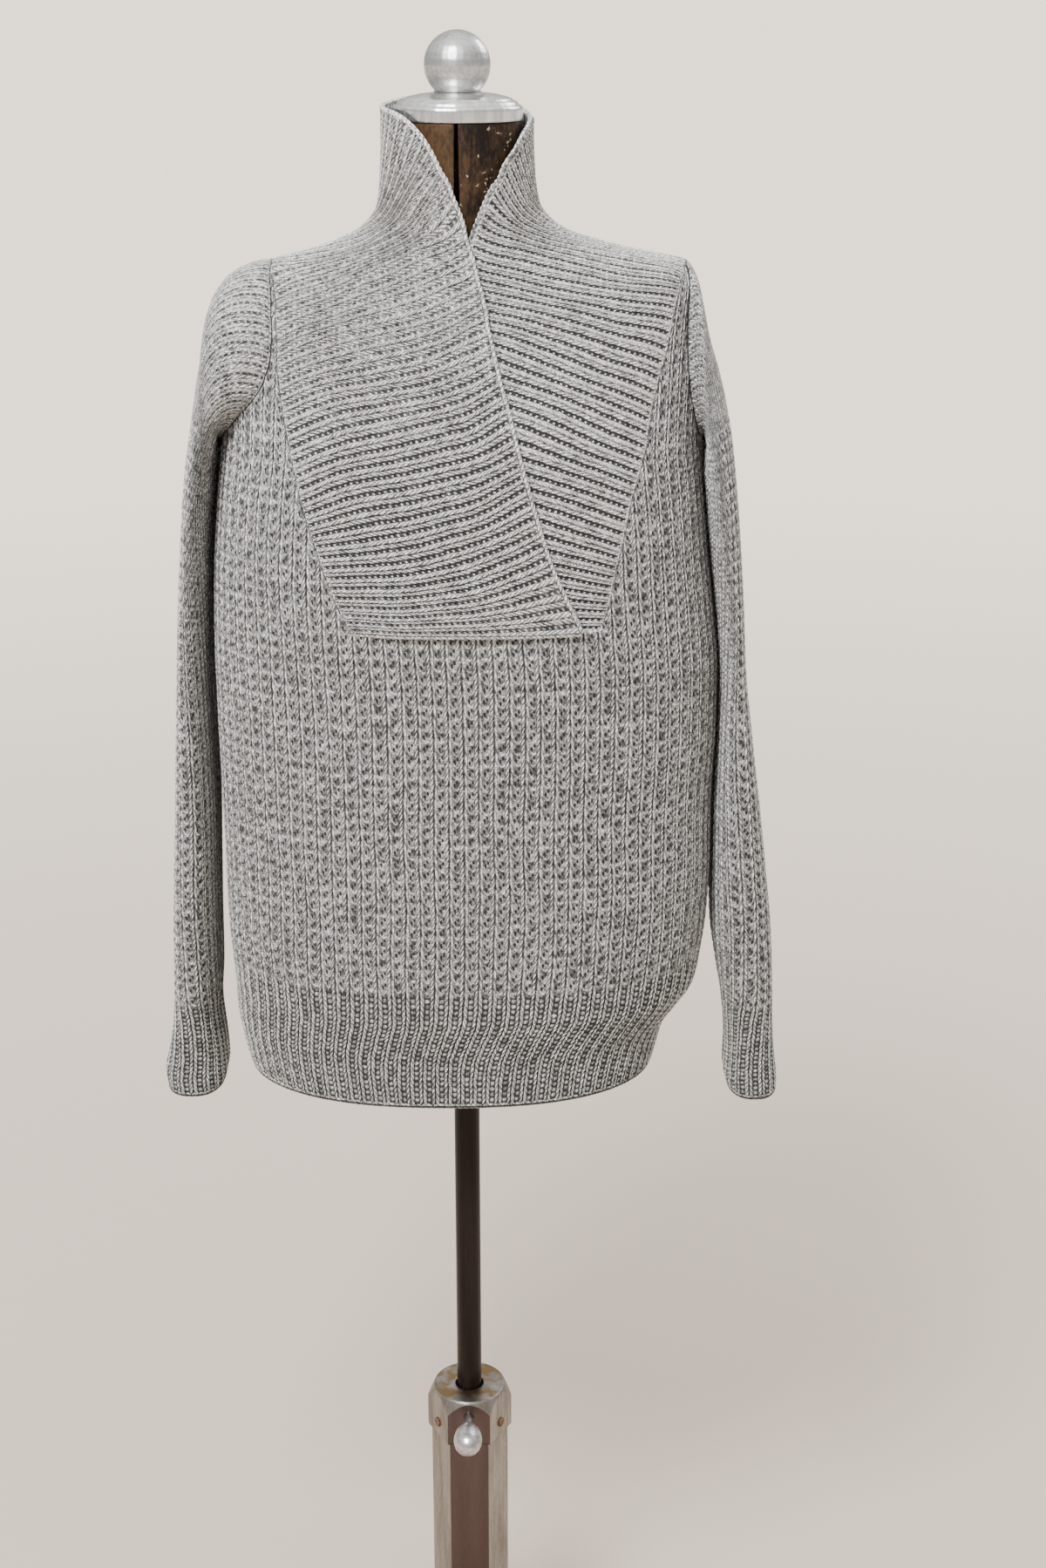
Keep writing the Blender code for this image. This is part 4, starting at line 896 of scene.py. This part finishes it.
def collar_seam(side):
    """Closely spaced angles and rings along one half's seam, and how far up it each is."""
    ring = np.linspace(COLLAR_FOOT, SHOULDER, LINE)
    angle = seam_angle(1 if side < 0 else 2, ring)
    behind = np.linspace(angle[-1], math.pi * side, LINE)[1:]
    return np.column_stack([np.append(angle, behind), np.append(ring, behind * 0 + SHOULDER),
                            np.append(ring, np.degrees(behind) * side)])


def read_line(line, at):
    """Angles and rings at fractional point numbers of a seam or a free edge."""
    return [np.interp(at, np.arange(len(line)), line[:, column]) for column in (0, 1)]


def rib_rise(side, ring, share):
    """How far up a rib of the chest has come at a share of its way from the seam."""
    middle = 1 - ease(ring, 15.5, 17.5)
    hook = 0.22 * ease(ring, 16.2, 18) * (share**5 - share)
    if side > 0:
        return share + 0.4 * middle * (share - share**2) + hook
    low = 1 - ease(ring, 11.2, 13.2)
    wave = 0.085 * ease(ring, 11.4, 13) * middle
    return share ** (1 + 1.6 * low) + wave * np.sin(2 * math.pi * share) + hook


def collar_table(side, seam, edge):
    """Each rib's start on the seam, angles and rings at its quarters, end on the edge."""
    chest, neck = (OVER_RIBS, OVER_NECK_RIBS) if side < 0 else (UNDER_RIBS, UNDER_NECK_RIBS)
    ring, height = chest.T
    number = np.arange(LINE)
    chest_end = np.interp(height, garment_point(*edge.T)[:, 2], number)
    start = garment_point(seam_angle(1 if side < 0 else 2, ring), ring)
    end = garment_point(*read_line(edge, chest_end))
    rise = rib_rise(side, ring[:, None], QUARTERS)
    x = start[:, :1] + (end[:, :1] - start[:, :1]) * QUARTERS
    chest_angle, chest_ring = locate(x, start[:, 2:] + (end[:, 2:] - start[:, 2:]) * rise)
    neck_end = np.interp(np.radians(neck[:, -1]), edge[:, 0] * side, number)
    first = np.interp(np.append(ring, neck[:, 0]), seam[:, 2], np.arange(len(seam)))
    return np.column_stack([first, np.vstack([chest_angle, np.radians(neck[:, 1:7:2]) * side]),
                            np.vstack([chest_ring, neck[:, 2:7:2]]),
                            np.append(chest_end, neck_end)])


def collar_ribs(table, at, side, rise, seam, edge):
    """Points and normals of ribs at fractional table rows: (rib, along the rib, axis)."""
    share = np.linspace(0, 4, RIB_POINTS)
    values = smooth_rows(table, at)
    first, last = read_line(seam, values[:, 0]), read_line(edge, values[:, 7])
    angle = smooth_rows(np.vstack([first[0], values[:, 1:4].T, last[0]]), share)
    ring = smooth_rows(np.vstack([first[1], values[:, 4:7].T, last[1]]), share)
    points = garment_point(angle, ring)
    column = 2 if side < 0 else 0
    other = np.interp(points[..., 2], FREE_EDGE[:, column + 1], FREE_EDGE[:, column])
    climb = ease((other - points[..., 0]) * side, -OVERLAP_SLOPE, 0)
    lift = rise * climb * (1 - ease(points[..., 2], *OVERLAP_TOP)) * (np.cos(angle) > 0)
    normal = garment_normal(angle, ring)
    return [np.moveaxis(grid, 0, 1) for grid in (points + normal * lift[..., None], normal)]


def make_collar(name, side, rise, relief, finish):
    """Half of the shawl collar: ribs run from its seam out to its free edge."""
    seam, edge = collar_seam(side), free_edge(side)
    table = collar_table(side, seam, edge)
    fine = np.linspace(0, len(table) - 1, LINE)
    points, _ = collar_ribs(table, fine, side, rise, seam, edge)
    start_ring = read_line(seam, smooth_rows(table, fine)[:, 0])[1]
    width = np.interp(start_ring, *COLLAR_WALES.T)
    distance = lengths(np.moveaxis(points, 0, 1)).mean(axis=0)
    numbers = np.concatenate([[0], np.cumsum(np.diff(distance) / width[1:])])
    total = numbers[-1]
    wales = even(0, total)
    lines = collar_ribs(table, np.interp(wales, numbers, fine), side, rise, seam, edge)
    along = lengths(lines[0]) / COLLAR_STITCH
    ends = along[:, -1]
    last = ends.max() + OVERSHOOT
    chart = chart_of(wales, even(0, last), along, lines)

    def reach(wale, row):
        across = np.minimum(wale, total - wale) * COLLAR_WALE
        end = np.minimum(row, np.interp(wale, wales, ends) - row) * COLLAR_STITCH
        return nearest(across, end)

    wall = Wall(chart, relief, reach)
    pull, start = SEAM_GAP / COLLAR_WALE, SEAM_GAP / COLLAR_STITCH
    columns = np.concatenate([[pull], repeated(WALE_PLACES, pull, total - pull, COLLAR_MARGIN),
                              [total - pull]])
    spots = np.concatenate([[start], repeated(BODY_PLACES, start, last, ROW_MARGIN)])
    row = np.stack([snapped(spots, start, end) for end in np.interp(columns, wales, ends)], 1)
    wall.add(np.broadcast_to(columns, row.shape), row, COLLAR_LEGS)
    every = np.linspace(pull, total - pull, EDGE_POINTS)
    free = chart.at(every, np.interp(every, wales, ends))
    foot = chart.at(pull, np.linspace(0, ends[0], CORD_POINTS))
    cords = [cord(*free, EDGE_CORD, WALL / 2, EDGE_TURN),
             cord(*chart.at(every, 0), SEAM_CORD, SEAM_SINK),
             cord(*foot, EDGE_CORD, WALL / 2, EDGE_TURN)]
    return wall.build(name, finish, side < 0, cords)


# ---- materials ----
class Nodes:
    """A node tree, with short ways to add nodes to it."""

    def __init__(self, tree):
        self.tree = tree

    def node(self, kind, **settings):
        made = self.tree.nodes.new("ShaderNode" + kind)
        for key, value in settings.items():
            setattr(made, key, value)
        return made

    def link(self, source, target):
        self.tree.links.new(source, target)

    def split(self, vector):
        """Components of a vector, as Fields."""
        made = self.node("SeparateXYZ")
        self.link(vector, made.inputs["Vector"])
        return [Field(self.tree, part) for part in made.outputs]


class Shader(Nodes):
    """A material of one surface, and the object coordinates on it."""

    def __init__(self, name):
        self.material = bpy.data.materials.new(name)
        self.material.use_nodes = True
        super().__init__(self.material.node_tree)
        self.surface = self.tree.nodes["Principled BSDF"]
        self.place = self.node("TexCoord").outputs["Object"]

    def set(self, name, value):
        self.surface.inputs[name].default_value = value

    def feed(self, name, source):
        self.link(source, self.surface.inputs[name])

    def tint(self, colour):
        self.colour = colour
        self.feed("Base Color", colour)

    def noise(self, vector, scale, detail=2, roughness=0.5):
        made = self.node("TexNoise")
        self.link(vector, made.inputs["Vector"])
        for name, value in (("Scale", scale), ("Detail", detail), ("Roughness", roughness)):
            made.inputs[name].default_value = value
        return Field(self.tree, made.outputs["Fac"])

    def blend(self, share, first, second):
        """Colour between two colours or colour sockets."""
        made = self.node("Mix", data_type="RGBA")
        self.link(share.socket, made.inputs["Factor"])
        for socket, value in ((made.inputs[6], first), (made.inputs[7], second)):
            if isinstance(value, tuple):
                socket.default_value = (*value, 1)
            else:
                self.link(value, socket)
        return made.outputs[2]

    def bump(self, height, distance, strength=1):
        made = self.node("Bump")
        made.inputs["Strength"].default_value = strength
        made.inputs["Distance"].default_value = distance
        self.link(height.socket, made.inputs["Height"])
        self.feed("Normal", made.outputs["Normal"])
        return made


YARN_PALE = (0.88, 0.87, 0.84)
YARN_GREY = (0.24, 0.24, 0.23)
# The yarn's colour is darkened in holes as painted shade, down to this share of it.
HOLE_PAINTED_SHADE = 0.04  # how light the yarn is in a hole


def knit_material(name, pattern):
    """Heather yarn in a stitch pattern along the piece's wales and rows, with painted shade in
    holes.
    """
    shader = Shader(name)
    wale, row, _ = shader.split(shader.node("UVMap", uv_map="knit").outputs["UV"])
    height = pattern(wale, row)
    heather = shader.noise(shader.place, 720, 3, 0.75)
    stitch = shader.noise(shader.place, 190, 1)
    along = shader.node("CombineXYZ")
    shader.link((wale * 0.13).socket, along.inputs["X"])
    shader.link((row * 0.9).socket, along.inputs["Y"])
    streak = shader.noise(along.outputs["Vector"], 1)
    tone = shader.blend(step_up(heather, 0.4, 0.6), YARN_GREY, YARN_PALE)
    # Painted shade: the colour darkens from the strand tops down into the holes and the gaps
    # between strands.
    out_of_painted_shade = step_up(height + 0.9 * (stitch - 0.5), -0.05, 0.95)
    light = (HOLE_PAINTED_SHADE + (1 - HOLE_PAINTED_SHADE) * out_of_painted_shade * out_of_painted_shade) * (0.72 + 0.56 * streak)
    grade = shader.node("HueSaturation")
    shader.link(tone, grade.inputs["Color"])
    shader.link(light.socket, grade.inputs["Value"])
    shader.tint(grade.outputs["Color"])
    for name, value in (("Roughness", 0.92), ("Specular IOR Level", 0.15),
                        ("Sheen Weight", 0.15), ("Sheen Roughness", 0.5)):
        shader.set(name, value)
    shader.bump(height + 0.12 * heather, 0.0022)
    return shader.material


def over_pattern(wale, row):
    """The upper half's ladders are open low down and drawn shut towards the shoulder."""
    gap = (0.45 + 0.35 * step_up(wale, 1, 7)) * (1 - 0.9 * step_up(wale, 12, 26))
    return collar_knit(wale, row, gap, 0)


def under_pattern(wale, row):
    gap = 1 - 0.3 * step_up(wale, 14, 24)
    return collar_knit(wale, row, gap, 0.45)


KNIT = knit_material("knit", body_pattern)
KNIT_SLEEVE = knit_material("knit_sleeve", sleeve_pattern)
KNIT_OVER = knit_material("knit_collar_over", over_pattern)
KNIT_UNDER = knit_material("knit_collar_under", under_pattern)

# ---- cloth ----
front = make_front(KNIT)
back = make_back(KNIT)
sleeve_right = make_sleeve("sleeve_right_knit", -1, SLEEVE_RIGHT / UNIT, KNIT_SLEEVE)
sleeve_left = make_sleeve("sleeve_left_knit", 1, snug(SLEEVE_LEFT / UNIT), KNIT_SLEEVE)
collar_right = make_collar("collar_right_knit", -1, LAYER_OUT, over_pattern, KNIT_OVER)
collar_left = make_collar("collar_left_knit", 1, -LAYER_IN, under_pattern, KNIT_UNDER)
for piece, node in ((front, "front"), (back, "back"), (sleeve_right, "sleeve_right"),
                    (sleeve_left, "sleeve_left"), (collar_right, "collar_right"),
                    (collar_left, "collar_left")):
    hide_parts(node)

# ---- finishes of the hard parts ----
ROUNDING = 0.003  # turned metal looks round although its mesh has flat faces


def worn(name, light, dark, roughness, metallic=1, streaks=(1, 1, 1), scale=60,
         contrast=0.16, bump=0.0001, shine=0.3):
    """Finish that varies between two colours and two roughness values in soft streaks."""
    shader = Shader(name)
    stretched = shader.node("VectorMath", operation="MULTIPLY")
    shader.link(shader.place, stretched.inputs[0])
    stretched.inputs[1].default_value = streaks
    patch = shader.noise(stretched.outputs["Vector"], scale, 4, 0.6)
    grain = shader.noise(stretched.outputs["Vector"], scale * 12, 2, 0.6)
    share = step_up(patch * 0.7 + grain * 0.3, 0.5 - contrast, 0.5 + contrast)
    shader.tint(shader.blend(share, dark, light))
    smooth, rough = roughness
    shader.feed("Roughness", (rough + (smooth - rough) * share).socket)
    shader.set("Metallic", metallic)
    shader.set("Specular IOR Level", shine)
    rounded = shader.node("Bevel", samples=6)
    rounded.inputs["Radius"].default_value = ROUNDING
    shader.link(rounded.outputs["Normal"], shader.bump(grain, bump, 0.5).inputs["Normal"])
    return shader


def leather():
    """Old brown leatherette: mottled, rubbed dark, with small pale scuffs."""
    shader = worn("leather", (0.066, 0.036, 0.016), (0.007, 0.004, 0.003), (0.42, 0.65),
                  0, (1, 1, 0.45), 34, 0.14, 0.0004, 0.15)
    scuff = shader.noise(shader.place, 190, 3, 0.65)
    area = shader.noise(shader.place, 24, 1)
    pale = step_up(scuff + 0.6 * (area - 0.5), 0.7, 0.76)
    shader.tint(shader.blend(pale, shader.colour, (0.3, 0.25, 0.17)))
    return shader


def stand_metal():
    """Tarnished cast aluminium: golden stains towards the top, brown painted reflection front
    and back.
    """
    shader = worn("stand_metal", (0.34, 0.32, 0.29), (0.17, 0.15, 0.125), (0.28, 0.46),
                  1, (1, 1, 0.12), 90, 0.2)
    _, forward, upward = shader.split(shader.node("NewGeometry").outputs["Normal"])
    # Painted reflection: faces turned to the front or back take on the brown of the floor in
    # front.
    floor_reflection_faces = step_up(size_of(forward), 0.9, 0.98)
    top = step_up(upward, 0.5, 0.9)
    stain = step_up(shader.noise(shader.place, 75, 3), 0.42, 0.62)
    with_floor_reflection = shader.blend(floor_reflection_faces * 0.92, shader.colour, (0.085, 0.057, 0.052))
    shader.tint(shader.blend(top * stain, with_floor_reflection, (0.2, 0.13, 0.06)))
    return shader


def dress(shader, *names):
    for name in names:
        for slot in NODES[name].material_slots:
            slot.material = shader.material


dress(leather(), "dress_form")
dress(worn("bright_metal", (0.94, 0.94, 0.93), (0.6, 0.6, 0.6), (0.12, 0.3),
           streaks=(1, 1, 0.06), scale=160), "neck_cap")
dress(worn("satin_metal", (0.62, 0.62, 0.62), (0.33, 0.33, 0.33), (0.28, 0.42), scale=32,
           contrast=0.1), "ball_finial", "clamp_knob")
dress(stand_metal(), "hub", "column", "base_boss", "leg_front", "leg_left", "leg_back",
      "leg_right")
dress(worn("pole_metal", (0.016, 0.009, 0.007), (0.007, 0.004, 0.003), (0.26, 0.4), 0,
           (1, 1, 0.05), 120, shine=0.12), "pole")
dress(worn("screw_metal", (0.26, 0.14, 0.08), (0.1, 0.05, 0.03), (0.5, 0.75), 0.4,
           scale=400), "hub_screw_right", "hub_screw_left", "hub_screw_back")
dress(worn("foot_rubber", (0.04, 0.038, 0.036), (0.02, 0.02, 0.02), (0.7, 0.9), 0,
           scale=200), "foot_front", "foot_left", "foot_back", "foot_right")

# ---- floor, light and camera ----
FAR = 400
floor_shader = Shader("floor_shade_and_glow")
away = floor_shader.node("VectorMath", operation="LENGTH")
floor_shader.link(floor_shader.place, away.inputs[0])
# Painted shade and painted light: the floor's colour darkens towards the stand, and farther off
# it glows brighter, for the camera alone.
distance = step_up(Field(floor_shader.tree, away.outputs["Value"]), -0.6, 7)
floor_shader.tint(floor_shader.blend(distance, (0.58, 0.48, 0.4), (0.96, 0.89, 0.82)))
floor_shader.set("Roughness", 0.9)
floor_shader.set("Emission Color", (1, 0.83, 0.62, 1))
seen = Field(floor_shader.tree, floor_shader.node("LightPath").outputs["Is Camera Ray"])
floor_shader.feed("Emission Strength", (distance * seen).socket)
corners = [(-FAR, -FAR, 0), (FAR, -FAR, 0), (FAR, FAR, 0), (-FAR, FAR, 0)]
floor = mesh_object("floor", corners, [(0, 1, 2, 3)], floor_shader.material)
floor.location.z = -0.0005

# The sky is brighter overhead than at the horizon, and plain where the camera sees it.
world = bpy.data.worlds.new("studio")
bpy.context.scene.world = world
world.use_nodes = True
sky = Nodes(world.node_tree)
height = sky.split(sky.node("TexCoord").outputs["Generated"])[2]
lighting = sky.tree.nodes["Background"]
lighting.inputs["Color"].default_value = (0.97, 0.96, 0.94, 1)
sky.link((0.42 + 1.3 * most(height, 0)).socket, lighting.inputs["Strength"])
backdrop = sky.node("Background")
backdrop.inputs["Color"].default_value = (2.2, 1.95, 1.62, 1)
choice = sky.node("MixShader")
sky.link(sky.node("LightPath").outputs["Is Camera Ray"], choice.inputs["Fac"])
sky.link(lighting.outputs["Background"], choice.inputs[1])
sky.link(backdrop.outputs["Background"], choice.inputs[2])
sky.link(choice.outputs["Shader"], sky.tree.nodes["World Output"].inputs["Surface"])

for name, place, target, size, power in (("key", (-0.7, -1.7, 3.1), (0, 0, 1.1), 0.9, 142),
                                         ("rim", (1.5, 1.4, 2.6), (0, 0, 1.2), 1, 25)):
    light = bpy.data.lights.new(name, "AREA")
    light.shape = "DISK"
    light.size = size
    light.energy = power
    lamp = in_scene(name, light)
    lamp.location = place
    lamp.rotation_euler = (Vector(target) - Vector(place)).to_track_quat("-Z", "Y").to_euler()

lens = bpy.data.cameras.new("camera")
lens.lens = 50.83
lens.sensor_width = 36
lens.clip_end = 2 * FAR
camera = in_scene("camera", lens)
camera.location = (0.05, -1.767, 1.61)
camera.rotation_euler = (math.radians(70.6), 0, 0)
bpy.context.scene.camera = camera
